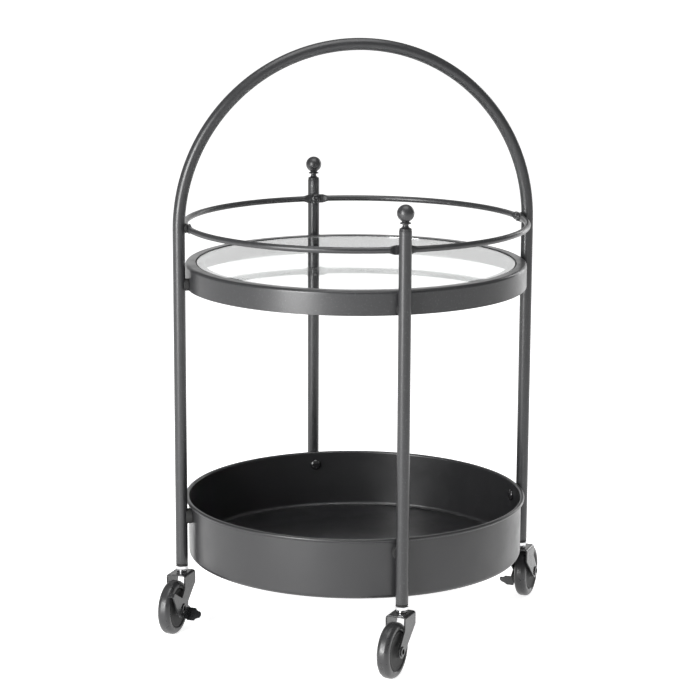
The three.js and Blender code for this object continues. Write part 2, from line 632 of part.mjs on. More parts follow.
function addCaster(cart, name, { angle, heading, brake }) {
  const caster = new THREE.Group();
  const bearing = radians(angle);
  caster.position.set(
    POST_CIRCLE_RADIUS * Math.cos(bearing), POST_CIRCLE_RADIUS * Math.sin(bearing), 0,
  );
  caster.rotation.z = radians(heading);
  addPiece(caster, `${name}_fork`, forkGeometry(), 'blackSteel');
  addPiece(caster, `${name}_axle`, axleGeometry(brake ? LEVER_PLATE + GAP : 0), 'blackSteel');
  addPiece(caster, `${name}_wheel_hub`, hubGeometry(), 'wheelCore');
  addPiece(caster, `${name}_wheel_tyre`, tyreGeometry(), 'tread');
  if (brake) addPiece(caster, `${name}_brake_lever`, brakeLeverGeometry(), 'blackSteel');
  cart.add(caster);
}

/** Everything that stands at one post: fixings, insert and stem. */
function addStation(cart, name, { angle }) {
  const station = new THREE.Group();
  station.rotation.z = radians(angle);
  for (const fixing of FIXINGS) {
    const screw = screwGeometry(fixing).translate(0, 0, fixing.height);
    const spacer = spacerGeometry(fixing).translate(0, 0, fixing.height);
    addPiece(station, `${fixing.name}_screw_${name}`, screw, 'blackScrew');
    addPiece(station, `${fixing.name}_spacer_${name}`, spacer, 'blackPlastic');
  }
  const foot = new THREE.Group();
  foot.position.x = POST_CIRCLE_RADIUS;
  addPiece(foot, `${name}_post_insert`, insertGeometry(), 'blackPlastic');
  addPiece(foot, `${name}_caster_stem`, stemGeometry(), 'chrome');
  station.add(foot);
  cart.add(station);
}

/** A straight post at its station, drilled, with its finial. */
function addStraightPost(cart, name) {
  const bearing = radians(STATIONS[name].angle);
  const [x, y] = [Math.cos(bearing), Math.sin(bearing)].map((part) => POST_CIRCLE_RADIUS * part);
  const post = drillPosts(postGeometry().translate(x, y, 0), [name]);
  addPiece(cart, `${name}_post`, post, 'powderCoat');
  addPiece(cart, `${name}_finial`, finialGeometry().translate(x, y, 0), 'powderCoat');
}

// ---- The cart -------------------------------------------------------------------------------------

const cart = new THREE.Group();
addPiece(cart, 'arch_hoop', drillPosts(hoopGeometry(), ['left', 'right']), 'powderCoat');
addStraightPost(cart, 'front');
addStraightPost(cart, 'rear');
addPiece(cart, 'gallery_rail', drillRing(railGeometry(), railFixing), 'powderCoat');
addPiece(cart, 'upper_tray_frame', drillRing(bandGeometry(), bandFixing), 'powderCoat');
addPiece(cart, 'glass_panel', glassGeometry(), 'glass');
addPiece(cart, 'lower_tray', drillRing(panGeometry(), panFixing), 'panCoat');
for (const [name, station] of Object.entries(STATIONS)) {
  addStation(cart, name, station);
  addCaster(cart, name, station);
}

export default cart;
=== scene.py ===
"""A round bar cart on casters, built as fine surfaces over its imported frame.

A bent hoop and two straight posts carry a glass-topped upper tray, a thin gallery rail and a deep
lower tray. Each piece is a surface worked out with numpy, rides on the body that carries it and
stands for one node of the frame. Lengths are in metres, with +Z up and the origin on the floor.
"""

import logging
import math
from dataclasses import dataclass
from enum import Enum
from functools import cache
from typing import Iterable

import bmesh
import bpy
import numpy as np
from mathutils import Matrix, Vector


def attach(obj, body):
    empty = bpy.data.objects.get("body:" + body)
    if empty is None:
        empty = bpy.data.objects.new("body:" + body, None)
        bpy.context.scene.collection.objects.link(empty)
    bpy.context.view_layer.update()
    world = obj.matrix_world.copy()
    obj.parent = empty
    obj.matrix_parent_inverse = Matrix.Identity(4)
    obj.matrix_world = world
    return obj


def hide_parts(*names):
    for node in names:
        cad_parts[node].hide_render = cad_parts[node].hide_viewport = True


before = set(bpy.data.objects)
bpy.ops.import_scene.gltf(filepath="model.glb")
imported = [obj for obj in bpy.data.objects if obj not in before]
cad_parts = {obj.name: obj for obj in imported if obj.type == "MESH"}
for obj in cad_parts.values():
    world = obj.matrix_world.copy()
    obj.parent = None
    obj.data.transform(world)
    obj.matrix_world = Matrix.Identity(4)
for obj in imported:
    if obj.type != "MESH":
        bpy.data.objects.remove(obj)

Array = np.ndarray
Points = Array | list[tuple[float, float]]
MM = 0.001
MERGE_DISTANCE = 2e-7
BEVEL_ANGLE = 50
log = logging.getLogger("bar_cart")


# ---- Surfaces -----------------------------------------------------------------------------------


@dataclass(frozen=True)
class Surface:
    """Corner places, and the faces as rows of four corner numbers."""

    places: Array
    quads: Array


def surface_from_grid(grid: Array, wrap_rows: bool, wrap_columns: bool = True) -> Surface:
    """Makes a surface of a grid of places: a quad joins each four neighbours.

    Args:
        grid: Places, as rows by columns by 3.
        wrap_rows: Joins the last row to the first.
        wrap_columns: Joins the last column to the first.

    Returns:
        The surface, whose poles and seams are still to be merged.
    """
    rows, columns = grid.shape[:2]
    index = np.arange(rows * columns).reshape(rows, columns)
    if wrap_rows:
        index = np.vstack([index, index[:1]])
    if wrap_columns:
        index = np.hstack([index, index[:, :1]])
    quads = np.stack([index[:-1, :-1], index[:-1, 1:], index[1:, 1:], index[1:, :-1]], axis=-1)
    return Surface(grid.reshape(-1, 3), quads.reshape(-1, 4))


def joined(surfaces: Iterable[Surface]) -> Surface:
    """Puts several closed surfaces in one, each with its corner numbers moved up."""
    parts = list(surfaces)
    starts = np.cumsum([0] + [len(part.places) for part in parts[:-1]])
    quads = np.vstack([part.quads + start for part, start in zip(parts, starts)])
    return Surface(np.vstack([part.places for part in parts]), quads)


def filleted(
    corners: Points, radii: Array | list[float], steps: int = 5, closed: bool = False
) -> Array:
    """Rounds the corners of an outline with arcs.

    At a corner P with unit directions u and v to its neighbours and an angle w between them, the
    arc of radius r has its centre at P + (u + v) / |u + v| * r / sin(w / 2), and its points swing
    from the radius at u's tangent point to the one at v's by spherical interpolation.

    Args:
        corners: Outline corners, n by 2.
        radii: One radius for each corner. 0 leaves it sharp.
        steps: Parts of each arc.
        closed: Whether the last corner is joined to the first.

    Returns:
        The rounded outline, m by 2, with its first point repeated at the end if it is closed.
    """
    corners = np.asarray(corners, float)
    radii = np.maximum(np.asarray(radii, float), 1e-9)
    before = np.roll(corners, 1, axis=0) - corners
    after = np.roll(corners, -1, axis=0) - corners
    if not closed:
        before[0] = -after[0]
        after[-1] = -before[-1]
    u = before / np.linalg.norm(before, axis=1, keepdims=True)
    v = after / np.linalg.norm(after, axis=1, keepdims=True)
    w = np.arccos(np.clip((u * v).sum(1), -1, 1 - 1e-12))
    straight = w > math.pi - 1e-4
    reach = np.where(straight, 0, radii / np.tan(w / 2))
    middle = u + v
    middle /= np.maximum(np.linalg.norm(middle, axis=1, keepdims=True), 1e-12)
    centre = corners + middle * (radii / np.sin(w / 2))[:, None]
    start = corners + u * reach[:, None] - centre
    end = corners + v * reach[:, None] - centre
    swing = np.maximum(math.pi - w, 1e-6)[:, None, None]
    share = np.linspace(0, 1, steps + 1)[None, :, None]
    arcs = np.sin((1 - share) * swing) * start[:, None] + np.sin(share * swing) * end[:, None]
    arcs = centre[:, None] + arcs / np.sin(swing)
    arcs = np.where(straight[:, None, None], corners[:, None], arcs)
    points = arcs.reshape(-1, 2)
    if closed:
        points = np.vstack([points, points[:1]])
    keep = np.r_[True, np.linalg.norm(np.diff(points, axis=0), axis=1) > 1e-7]
    return points[keep]


def arc(centre: tuple[float, float], radius: float, start: float, end: float, steps: int) -> Array:
    """Points of a circle arc between two angles in degrees, n by 2."""
    angle = np.radians(np.linspace(start, end, steps + 1))
    return np.array(centre) + radius * np.stack([np.cos(angle), np.sin(angle)], axis=1)


def round_angles(count: int) -> Array:
    """Even steps round a full turn, in radians."""
    return 2 * math.pi * np.arange(count) / count


def turned(profile: Array, count: int) -> Surface:
    """Turns a profile about Z: place(i, j) = (r_i cos a_j, r_i sin a_j, z_i).

    Args:
        profile: Radius and height, n by 2. It is closed, or it begins and ends on the axis.
        count: Steps round the axis.

    Returns:
        The turned surface.
    """
    closed = bool(np.allclose(profile[0], profile[-1], atol=1e-9))
    radius, height = (profile[:-1] if closed else profile).T
    angle = round_angles(count)
    x, y = np.outer(radius, np.cos(angle)), np.outer(radius, np.sin(angle))
    z = np.outer(height, np.ones(count))
    return surface_from_grid(np.stack([x, y, z], axis=-1), wrap_rows=closed)


def revolved(
    corners: Points, radii: Array | list[float], steps: int, count: int, closed: bool = True
) -> Surface:
    """Rounds the corners of a profile and turns it about Z.

    Args:
        corners: Radius and height of each corner.
        radii: Radius of the rounding at each corner.
        steps: Parts of each rounding.
        count: Steps round the axis.
        closed: Whether the profile closes on itself, and not on the axis.

    Returns:
        The turned surface.
    """
    return turned(filleted(corners, radii, steps, closed), count)


def rounded_bars(
    reach: Array, half: float, across: Array, through: Array | float, steps: int
) -> tuple[Array, Array]:
    """Outlines of a bar with rounded edges, one for each place along it.

    Args:
        reach: Half of the bar's width at each place, n by 1.
        half: Half of its thickness.
        across: Size of the rounding across the width, n by 1.
        through: Size of the rounding through the thickness.
        steps: Points of each rounding.

    Returns:
        Distances across the width and through the thickness, both n by 4 * steps.
    """
    quarter = np.radians(np.linspace(0, 90, steps))
    swing = (quarter[None] + np.radians([[0], [90], [180], [270]])).ravel()
    side_a, side_b = np.repeat([1, -1, -1, 1], steps), np.repeat([1, 1, -1, -1], steps)
    first = side_a * (reach - across) + across * np.cos(swing)
    second = side_b * (half - through) + through * np.sin(swing)
    return first, np.broadcast_to(second, first.shape)


def carried(path: Array, across: Array, upright: Array, section: Array) -> Surface:
    """Carries a closed section along a path: place(i, j) = path_i + s_j0 across_i + s_j1 upright_i.

    Args:
        path: Places along the way, n by 3.
        across: Direction of the section's first axis at each place, n by 3.
        upright: Direction of its second axis, n by 3.
        section: Closed outline, m by 2, or one outline for each place, n by m by 2.

    Returns:
        The surface, open or pinched at its two ends as the section says.
    """
    section = np.broadcast_to(section, (len(path), *section.shape[-2:]))
    grid = path[:, None] + section[..., :1] * across[:, None] + section[..., 1:] * upright[:, None]
    return surface_from_grid(grid, wrap_rows=False)


def moved(surface: Surface, matrix: Matrix) -> Surface:
    """Moves a surface by a matrix: place = M place."""
    m = np.array(matrix)
    return Surface(surface.places @ m[:3, :3].T + m[:3, 3], surface.quads)


def turned_about(axis: str, degrees: float) -> Matrix:
    """Rotation about one axis by an angle in degrees."""
    return Matrix.Rotation(math.radians(degrees), 4, axis)


def raised(height: float) -> Matrix:
    """Lift along Z."""
    return Matrix.Translation((0, 0, height))


def in_metres(matrix: Matrix) -> Matrix:
    """The same move for a mesh in metres."""
    return Matrix.Translation(matrix.translation * MM) @ matrix.to_3x3().to_4x4()


ALONG_X = turned_about("Y", 90)
ALONG_MINUS_Y = turned_about("X", 90)


def mesh_of(name: str, surface: Surface) -> bpy.types.Mesh:
    """Makes a clean closed mesh: poles and seams merged, faces outwards.

    Args:
        name: Name of the mesh.
        surface: Surface in millimetres.

    Returns:
        The mesh, in metres.
    """
    mesh = bpy.data.meshes.new(name)
    mesh.from_pydata(surface.places * MM, [], surface.quads.tolist())
    shape = bmesh.new()
    shape.from_mesh(mesh)
    bmesh.ops.remove_doubles(shape, verts=shape.verts, dist=MERGE_DISTANCE)
    bmesh.ops.dissolve_degenerate(shape, edges=shape.edges, dist=MERGE_DISTANCE / 2)
    bmesh.ops.recalc_face_normals(shape, faces=shape.faces)
    if shape.calc_volume(signed=True) < 0:
        bmesh.ops.reverse_faces(shape, faces=shape.faces)
    shape.to_mesh(mesh)
    shape.free()
    return mesh


def linked(name: str, data: bpy.types.ID) -> bpy.types.Object:
    """Makes an object of a mesh, light or camera and puts it in the scene."""
    thing = bpy.data.objects.new(name, data)
    bpy.context.scene.collection.objects.link(thing)
    return thing


def baked(work: bpy.types.Object) -> bpy.types.Mesh:
    """The mesh that an object's modifiers leave. The object is removed."""
    bpy.context.view_layer.update()
    graph = bpy.context.evaluated_depsgraph_get()
    result = bpy.data.meshes.new_from_object(work.evaluated_get(graph))
    bpy.data.objects.remove(work)
    return result


def boolean(target: bpy.types.Mesh, tool: bpy.types.Mesh, operation: str) -> bpy.types.Mesh:
    """Cuts or joins two closed meshes.

    Args:
        target: Mesh that is worked on.
        tool: Mesh that cuts it or is joined to it.
        operation: DIFFERENCE, INTERSECT or UNION.

    Returns:
        The new mesh.
    """
    work, second = linked("work", target), linked("tool", tool)
    cut = work.modifiers.new("cut", "BOOLEAN")
    cut.operation = operation
    cut.solver = "EXACT"
    cut.object = second
    result = baked(work)
    bpy.data.objects.remove(second)
    return result


def bevelled(mesh: bpy.types.Mesh, width: float) -> bpy.types.Mesh:
    """Rounds the sharp edges of a cut or joined mesh.

    Args:
        mesh: Mesh in metres.
        width: How far the rounding reaches from each edge, in millimetres.

    Returns:
        The new mesh.
    """
    work = linked("work", mesh)
    bevel = work.modifiers.new("rounding", "BEVEL")
    bevel.width = width * MM
    bevel.segments = 3
    bevel.limit_method = "ANGLE"
    bevel.angle_limit = math.radians(BEVEL_ANGLE)
    return baked(work)


# ---- Node groups --------------------------------------------------------------------------------


class Wiring:
    """A node tree with short calls to add and link nodes."""

    def __init__(self, tree: bpy.types.NodeTree) -> None:
        """Takes the tree to work in."""
        self.tree = tree

    def add(self, kind: str, **settings: object) -> bpy.types.Node:
        """Adds a node and sets its properties."""
        node = self.tree.nodes.new(kind)
        for name, value in settings.items():
            setattr(node, name, value)
        return node

    def link(self, source: bpy.types.NodeSocket, target: bpy.types.NodeSocket) -> None:
        """Links two sockets."""
        self.tree.links.new(source, target)

    def feed(self, target: bpy.types.NodeSocket, value: object) -> None:
        """Links a socket to another, or sets it to a plain value."""
        if isinstance(value, bpy.types.NodeSocket):
            self.link(value, target)
        else:
            target.default_value = value

    def fill(self, node: bpy.types.Node, **values: object) -> None:
        """Feeds a node's named inputs. A _ stands for a space in a name."""
        for label, value in values.items():
            self.feed(node.inputs[label.replace("_", " ")], value)

    def group(self, tree: bpy.types.NodeTree, **values: object) -> bpy.types.Node:
        """Places a node group and feeds its inputs."""
        node = self.add("ShaderNodeGroup", node_tree=tree)
        self.fill(node, **values)
        return node

    def object_place(self) -> bpy.types.NodeSocket:
        """The place on the object, which every pattern is laid on."""
        return self.add("ShaderNodeTexCoord").outputs["Object"]

    def maths(self, operation: str, *values: object) -> bpy.types.NodeSocket:
        """Adds a Math node and returns its result."""
        node = self.add("ShaderNodeMath", operation=operation)
        for socket, value in zip(node.inputs, values):
            self.feed(socket, value)
        return node.outputs[0]

    def mixed(
        self, kind: str, share: object, first: object, second: object
    ) -> bpy.types.NodeSocket:
        """Adds a Mix node of kind FLOAT or RGBA and returns its result."""
        node = self.add("ShaderNodeMix", data_type=kind)
        start, result = (2, 0) if kind == "FLOAT" else (6, 2)
        for index, value in ((0, share), (start, first), (start + 1, second)):
            self.feed(node.inputs[index], value)
        return node.outputs[result]

    def noise(
        self, place: bpy.types.NodeSocket, scale: object, detail: float, roughness: float = 0.5
    ) -> bpy.types.NodeSocket:
        """Adds a Noise node on a place and returns its value."""
        node = self.add("ShaderNodeTexNoise")
        self.fill(node, Vector=place, Scale=scale, Detail=detail, Roughness=roughness)
        return node.outputs["Fac"]

    def spread(
        self, value: bpy.types.NodeSocket, low: float, high: float, to_low: object, to_high: object
    ) -> bpy.types.NodeSocket:
        """Adds a smooth Map Range node and returns its result."""
        node = self.add("ShaderNodeMapRange", interpolation_type="SMOOTHSTEP")
        for socket, given in zip(node.inputs, (value, low, high, to_low, to_high)):
            self.feed(socket, given)
        return node.outputs[0]


def new_group(
    name: str, inputs: dict[str, tuple[str, object]], outputs: dict[str, str]
) -> tuple[bpy.types.NodeTree, Wiring, bpy.types.Node, bpy.types.Node]:
    """Starts a shader node group with named sockets.

    Args:
        name: Name of the group.
        inputs: Socket kind and first value of each input.
        outputs: Socket kind of each output.

    Returns:
        The group, its wiring, its input node and its output node.
    """
    tree = bpy.data.node_groups.new(name, "ShaderNodeTree")
    for label, (kind, value) in inputs.items():
        socket = tree.interface.new_socket(label, in_out="INPUT", socket_type=kind)
        socket.default_value = value
    for label, kind in outputs.items():
        tree.interface.new_socket(label, in_out="OUTPUT", socket_type=kind)
    wiring = Wiring(tree)
    return tree, wiring, wiring.add("NodeGroupInput"), wiring.add("NodeGroupOutput")


FLOAT = "NodeSocketFloat"
COLOUR = "NodeSocketColor"


@cache
def powder_grain_group() -> bpy.types.NodeTree:
    """Orange peel of a baked powder coat: a low swell with fine grains on it, as a height."""
    tree, wiring, given, result = new_group(
        "powder_grain",
        {"Swell": (FLOAT, 420.0), "Grain": (FLOAT, 1900.0), "Share": (FLOAT, 0.45)},
        {"Height": FLOAT},
    )
    place = wiring.object_place()
    swell = wiring.noise(place, given.outputs["Swell"], 2.0)
    grain = wiring.noise(place, given.outputs["Grain"], 3.0, 0.65)
    wiring.fill(result, Height=wiring.mixed("FLOAT", given.outputs["Share"], swell, grain))
    return tree


@cache
def tone_group() -> bpy.types.NodeTree:
    """Colour that drifts softly over the surface and carries fine lighter flakes."""
    tree, wiring, given, result = new_group(
        "tone_and_flake",
        {
            "Colour": (COLOUR, (0.1, 0.1, 0.1, 1.0)),
            "Flake Colour": (COLOUR, (0.3, 0.3, 0.3, 1.0)),
            "Drift": (FLOAT, 0.1),
            "Drift Scale": (FLOAT, 18.0),
            "Flake Scale": (FLOAT, 1500.0),
            "Flake Amount": (FLOAT, 0.3),
        },
        {"Colour": COLOUR},
    )
    place = wiring.object_place()
    drift = wiring.noise(place, given.outputs["Drift Scale"], 3.0)
    gain = wiring.maths("MULTIPLY", wiring.maths("SUBTRACT", drift, 0.5), 2.0)
    gain = wiring.maths("MULTIPLY_ADD", gain, given.outputs["Drift"], 1.0)
    scaled = wiring.add("ShaderNodeVectorMath", operation="SCALE")
    wiring.link(given.outputs["Colour"], scaled.inputs[0])
    wiring.link(gain, scaled.inputs["Scale"])
    fine = wiring.noise(place, given.outputs["Flake Scale"], 1.0)
    flake = wiring.spread(fine, 0.6, 0.78, 0.0, given.outputs["Flake Amount"])
    colour = wiring.mixed("RGBA", flake, scaled.outputs[0], given.outputs["Flake Colour"])
    wiring.fill(result, Colour=colour)
    return tree


@cache
def handling_group() -> bpy.types.NodeTree:
    """Roughness that varies with handling marks: broad smudges with a finer breakup."""
    tree, wiring, given, result = new_group(
        "handling_marks",
        {"Least": (FLOAT, 0.3), "Most": (FLOAT, 0.45), "Scale": (FLOAT, 30.0)},
        {"Roughness": FLOAT},
    )
    place = wiring.object_place()
    broad = wiring.noise(place, given.outputs["Scale"], 4.0, 0.6)
    mask = wiring.spread(broad, 0.35, 0.68, 0.0, 1.0)
    value = wiring.add("ShaderNodeMapRange")
    wiring.fill(
        value, Value=mask, To_Min=given.outputs["Least"], To_Max=given.outputs["Most"]
    )
    wiring.fill(result, Roughness=value.outputs[0])
    return tree


@cache
def dust_group() -> bpy.types.NodeTree:
    """Fine dust, thicker low down near the floor, as a colour laid over another."""
    tree, wiring, given, result = new_group(
        "floor_dust",
        {
            "Colour": (COLOUR, (0.1, 0.1, 0.1, 1.0)),
            "Dust": (COLOUR, (0.3, 0.29, 0.27, 1.0)),
            "Amount": (FLOAT, 0.2),
            "Height": (FLOAT, 0.05),
        },
        {"Colour": COLOUR},
    )
    place = wiring.object_place()
    parts = wiring.add("ShaderNodeSeparateXYZ")
    wiring.link(place, parts.inputs[0])
    lift = wiring.maths("DIVIDE", parts.outputs["Z"], given.outputs["Height"])
    low = wiring.maths("SUBTRACT", 1.0, wiring.maths("MINIMUM", lift, 1.0))
    patch = wiring.spread(wiring.noise(place, 160.0, 5.0, 0.7), 0.42, 0.7, 0.25, 1.0)
    mask = wiring.maths("MULTIPLY", wiring.maths("MULTIPLY", low, patch), given.outputs["Amount"])
    colour = wiring.mixed("RGBA", mask, given.outputs["Colour"], given.outputs["Dust"])
    wiring.fill(result, Colour=colour)
    return tree


# ---- Finishes -----------------------------------------------------------------------------------


Colour = tuple[float, float, float]
WHITE: Colour = (1.0, 1.0, 1.0)
GRAIN_DISTANCE = 0.0004
COAT_ROUGHNESS = 0.08


def new_material(name: str) -> tuple[bpy.types.Material, Wiring, bpy.types.Node]:
    """Starts a material and returns it with its wiring and its shader."""
    material = bpy.data.materials.new(name)
    material.use_nodes = True
    return material, Wiring(material.node_tree), material.node_tree.nodes["Principled BSDF"]


def with_alpha(colour: Colour) -> tuple[float, float, float, float]:
    """The colour as four numbers."""
    return (*colour, 1.0)


@dataclass(frozen=True)
class Finish:
    """A surface finish: tone, handling marks, grain and dust on one glossy base."""

    name: str
    slot: str
    colour: Colour
    flake_colour: Colour = (0.3, 0.3, 0.31)
    flake_scale: float = 1500.0
    flake_amount: float = 0.2
    drift: float = 0.08
    least_roughness: float = 0.35
    most_roughness: float = 0.45
    marks_scale: float = 30.0
    swell: float = 420.0
    grain: float = 1900.0
    grain_share: float = 0.45
    grain_depth: float = 0.06
    metallic: float = 0.0
    specular: float = 0.5
    coat: float = 0.0
    dust: float = 0.0
    dust_height: float = 0.05

    def material(self) -> bpy.types.Material:
        """Builds the material, or returns the one of that name, which may be the frame's own."""
        found = bpy.data.materials.get(self.name)
        if found:
            return found
        material, wiring, shader = new_material(self.name)
        tone = wiring.group(
            tone_group(),
            Colour=with_alpha(self.colour),
            Flake_Colour=with_alpha(self.flake_colour),
            Drift=self.drift,
            Flake_Scale=self.flake_scale,
            Flake_Amount=self.flake_amount,
        )
        colour = tone.outputs["Colour"]
        if self.dust:
            dust = wiring.group(
                dust_group(), Colour=colour, Amount=self.dust, Height=self.dust_height
            )
            colour = dust.outputs["Colour"]
        marks = wiring.group(
            handling_group(),
            Least=self.least_roughness,
            Most=self.most_roughness,
            Scale=self.marks_scale,
        )
        grain = wiring.group(
            powder_grain_group(), Swell=self.swell, Grain=self.grain, Share=self.grain_share
        )
        bump = wiring.add("ShaderNodeBump")
        height = grain.outputs["Height"]
        wiring.fill(bump, Strength=self.grain_depth, Distance=GRAIN_DISTANCE, Height=height)
        wiring.fill(
            shader,
            Base_Color=colour,
            Roughness=marks.outputs["Roughness"],
            Normal=bump.outputs["Normal"],
            Metallic=self.metallic,
            Specular_IOR_Level=self.specular,
            Coat_Weight=self.coat,
            Coat_Roughness=COAT_ROUGHNESS,
        )
        return material


@dataclass(frozen=True)
class GlassFinish:
    """Clear pane with faint smudges on its polish."""

    name: str = "clear_pane"
    slot: str = "clear_glass"
    colour: Colour = (0.97, 0.985, 0.98)
    refraction: float = 1.5

    def material(self) -> bpy.types.Material:
        """Builds the material, or returns the one of that name, which may be the frame's own."""
        found = bpy.data.materials.get(self.name)
        if found:
            return found
        material, wiring, shader = new_material(self.name)
        tint = with_alpha(self.colour)
        tone = wiring.group(
            tone_group(), Colour=tint, Flake_Colour=tint, Drift=0.01, Flake_Amount=0.0
        )
        marks = wiring.group(handling_group(), Least=0.0, Most=0.035, Scale=12.0)
        wiring.fill(
            shader,
            Base_Color=tone.outputs["Colour"],
            Roughness=marks.outputs["Roughness"],
            Transmission_Weight=1.0,
            IOR=self.refraction,
        )
        return material


class Look(Enum):
    """Every finish on the cart."""

    FRAME = Finish(
        "graphite_powder_coat", "frame_coat", (0.02, 0.0203, 0.0214),
        flake_colour=(0.13, 0.13, 0.137), flake_scale=650.0, flake_amount=0.3,
        least_roughness=0.28, most_roughness=0.36, grain_depth=0.16,
    )
    PAN = Finish(
        "pan_powder_coat", "pan_coat", (0.015, 0.015, 0.016), flake_colour=(0.09, 0.09, 0.094),
        flake_amount=0.16, least_roughness=0.31, most_roughness=0.38, grain_depth=0.12,
    )
    SCREW = Finish(
        "black_plated_screw", "screw_black", (0.012, 0.012, 0.013), flake_amount=0.05,
        least_roughness=0.12, most_roughness=0.24, marks_scale=220.0, grain_depth=0.02, coat=0.4,
    )
    PLASTIC = Finish(
        "black_plastic", "black_plastic", (0.009, 0.009, 0.0095), flake_colour=(0.03, 0.03, 0.03),
        flake_amount=0.04, least_roughness=0.4, most_roughness=0.55, marks_scale=120.0,
        swell=900.0, grain=3200.0, grain_depth=0.08,
    )
    CHROME = Finish(
        "chrome_plate", "chrome", (0.55, 0.55, 0.56), flake_colour=(0.45, 0.45, 0.46),
        flake_amount=0.08, drift=0.03, least_roughness=0.05, most_roughness=0.14,
        marks_scale=260.0, grain_depth=0.015, metallic=1.0,
    )
    STEEL = Finish(
        "black_fork_plating", "fork_steel", (0.014, 0.0143, 0.015),
        flake_colour=(0.05, 0.05, 0.053), flake_amount=0.05, least_roughness=0.2,
        most_roughness=0.28, marks_scale=90.0, grain_depth=0.015, coat=0.08,
    )
    CORE = Finish(
        "wheel_core", "wheel_core", (0.022, 0.022, 0.0232), flake_colour=(0.06, 0.06, 0.062),
        flake_amount=0.03, least_roughness=0.26, most_roughness=0.36, marks_scale=110.0,
        swell=600.0, grain=2600.0, grain_depth=0.03, dust=0.03, dust_height=0.06,
    )
    TREAD = Finish(
        "black_tread", "tread", (0.022, 0.022, 0.023), flake_colour=(0.06, 0.06, 0.062),
        flake_amount=0.03, least_roughness=0.27, most_roughness=0.4, marks_scale=140.0,
        swell=500.0, grain=2400.0, grain_depth=0.04, dust=0.07, dust_height=0.03,
    )
    GLASS = GlassFinish()


# ---- The cart's sizes ---------------------------------------------------------------------------


@dataclass(frozen=True)
class CartSizes:
    """Sizes that several pieces share, in millimetres, as the frame has them."""

    gap: float = 0.3
    post_circle: float = 236.0
    tube_radius: float = 8.0
    tube_wall: float = 1.2
    wheel_radius: float = 35.5
    trail: float = 29.5
    fork_plate: float = 2.0
    bridge_top: float = 76.8
    collar_bottom: float = 79.9
    collar_height: float = 5.4
    insert_bottom: float = 85.6
    post_bottom: float = 87.7
    post_length: float = 472.5
    hoop_spring: float = 532.2
    rail_lift: float = 535.2
    band_base: float = 453.7
    pan_base: float = 90.2
    boss_half: float = 11.2

    @property
    def post_face(self) -> float:
        """Distance from the cart's axis to the near side of a post."""
        return self.post_circle - self.tube_radius

    @property
    def post_top(self) -> float:
        """Height of the straight posts' upper ends."""
        return self.post_bottom + self.post_length

    @property
    def fork_inner(self) -> float:
        """Half of the space between a fork's legs."""
        return self.boss_half + self.gap

    @property
    def fork_outer(self) -> float:
        """Half of a fork's outer width."""
        return self.fork_inner + self.fork_plate


SIZES = CartSizes()


@dataclass(frozen=True)
class Station:
    """Where a post stands and how its caster heads, in degrees."""

    name: str
    bearing: float
    heading: float
    brake: bool

    @property
    def at_centre(self) -> Matrix:
        """Turns a piece made along +X, from the cart's axis, to this post."""
        return turned_about("Z", self.bearing)

    @property
    def at_post(self) -> Matrix:
        """Puts a piece made round the Z axis on this post's axis."""
        return self.at_centre @ Matrix.Translation((SIZES.post_circle, 0, 0))

    @property
    def at_caster(self) -> Matrix:
        """Puts a piece made in the caster's own frame, heading along +X, in place."""
        angle = math.radians(self.bearing)
        spot = Vector((math.cos(angle), math.sin(angle), 0)) * SIZES.post_circle
        return Matrix.Translation(spot) @ turned_about("Z", self.heading)

    @property
    def at_axle(self) -> Matrix:
        """Puts a piece made round the Z axis on the wheel's axle."""
        shift = Matrix.Translation((-SIZES.trail, 0, SIZES.wheel_radius))
        return self.at_caster @ shift @ ALONG_MINUS_Y


STATIONS = (
    Station("right", 0, 235.5, True),
    Station("rear", 90, 231.5, False),
    Station("left", 180, 55.5, True),
    Station("front", 270, 51.5, False),
)


# ---- Building one piece -------------------------------------------------------------------------


def add_piece(
    node: str, shape: Surface | bpy.types.Mesh, look: Look, body: str = "frame", sharp: float = 32
) -> None:
    """Adds a finished piece: mesh, finish, body and the node it stands for.

    Args:
        node: Node of the frame that it stands for.
        shape: Surface in millimetres, or a ready mesh in metres.
        look: Finish.
        body: Body that it rides on.
        sharp: Angle past which an edge stays sharp, in degrees.
    """
    name = f"{node}.fine"
    mesh = mesh_of(name, shape) if isinstance(shape, Surface) else shape
    mesh.name = name
    mesh.shade_smooth()
    mesh.set_sharp_from_angle(angle=math.radians(sharp))
    mesh.materials.clear()
    mesh.materials.append(look.value.material())
    piece = linked(name, mesh)
    even = piece.modifiers.new("even_shading", "WEIGHTED_NORMAL")
    even.mode = "FACE_AREA"
    even.keep_sharp = True
    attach(piece, body)
    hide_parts(node)
    log.info("%s: %d faces on %s for %s", name, len(mesh.polygons), body, node)


def rod(radius: float, low: float, high: float, count: int = 32) -> Surface:
    """A plain rod about Z, for cutting holes."""
    profile = np.array([[0, low], [radius, low], [radius, high], [0, high]])
    return turned(profile, count)


# ---- Fixings ------------------------------------------------------------------------------------


class HeadShape(Enum):
    """How a screw's head is finished."""

    BUTTON = "button"
    DOME = "dome"


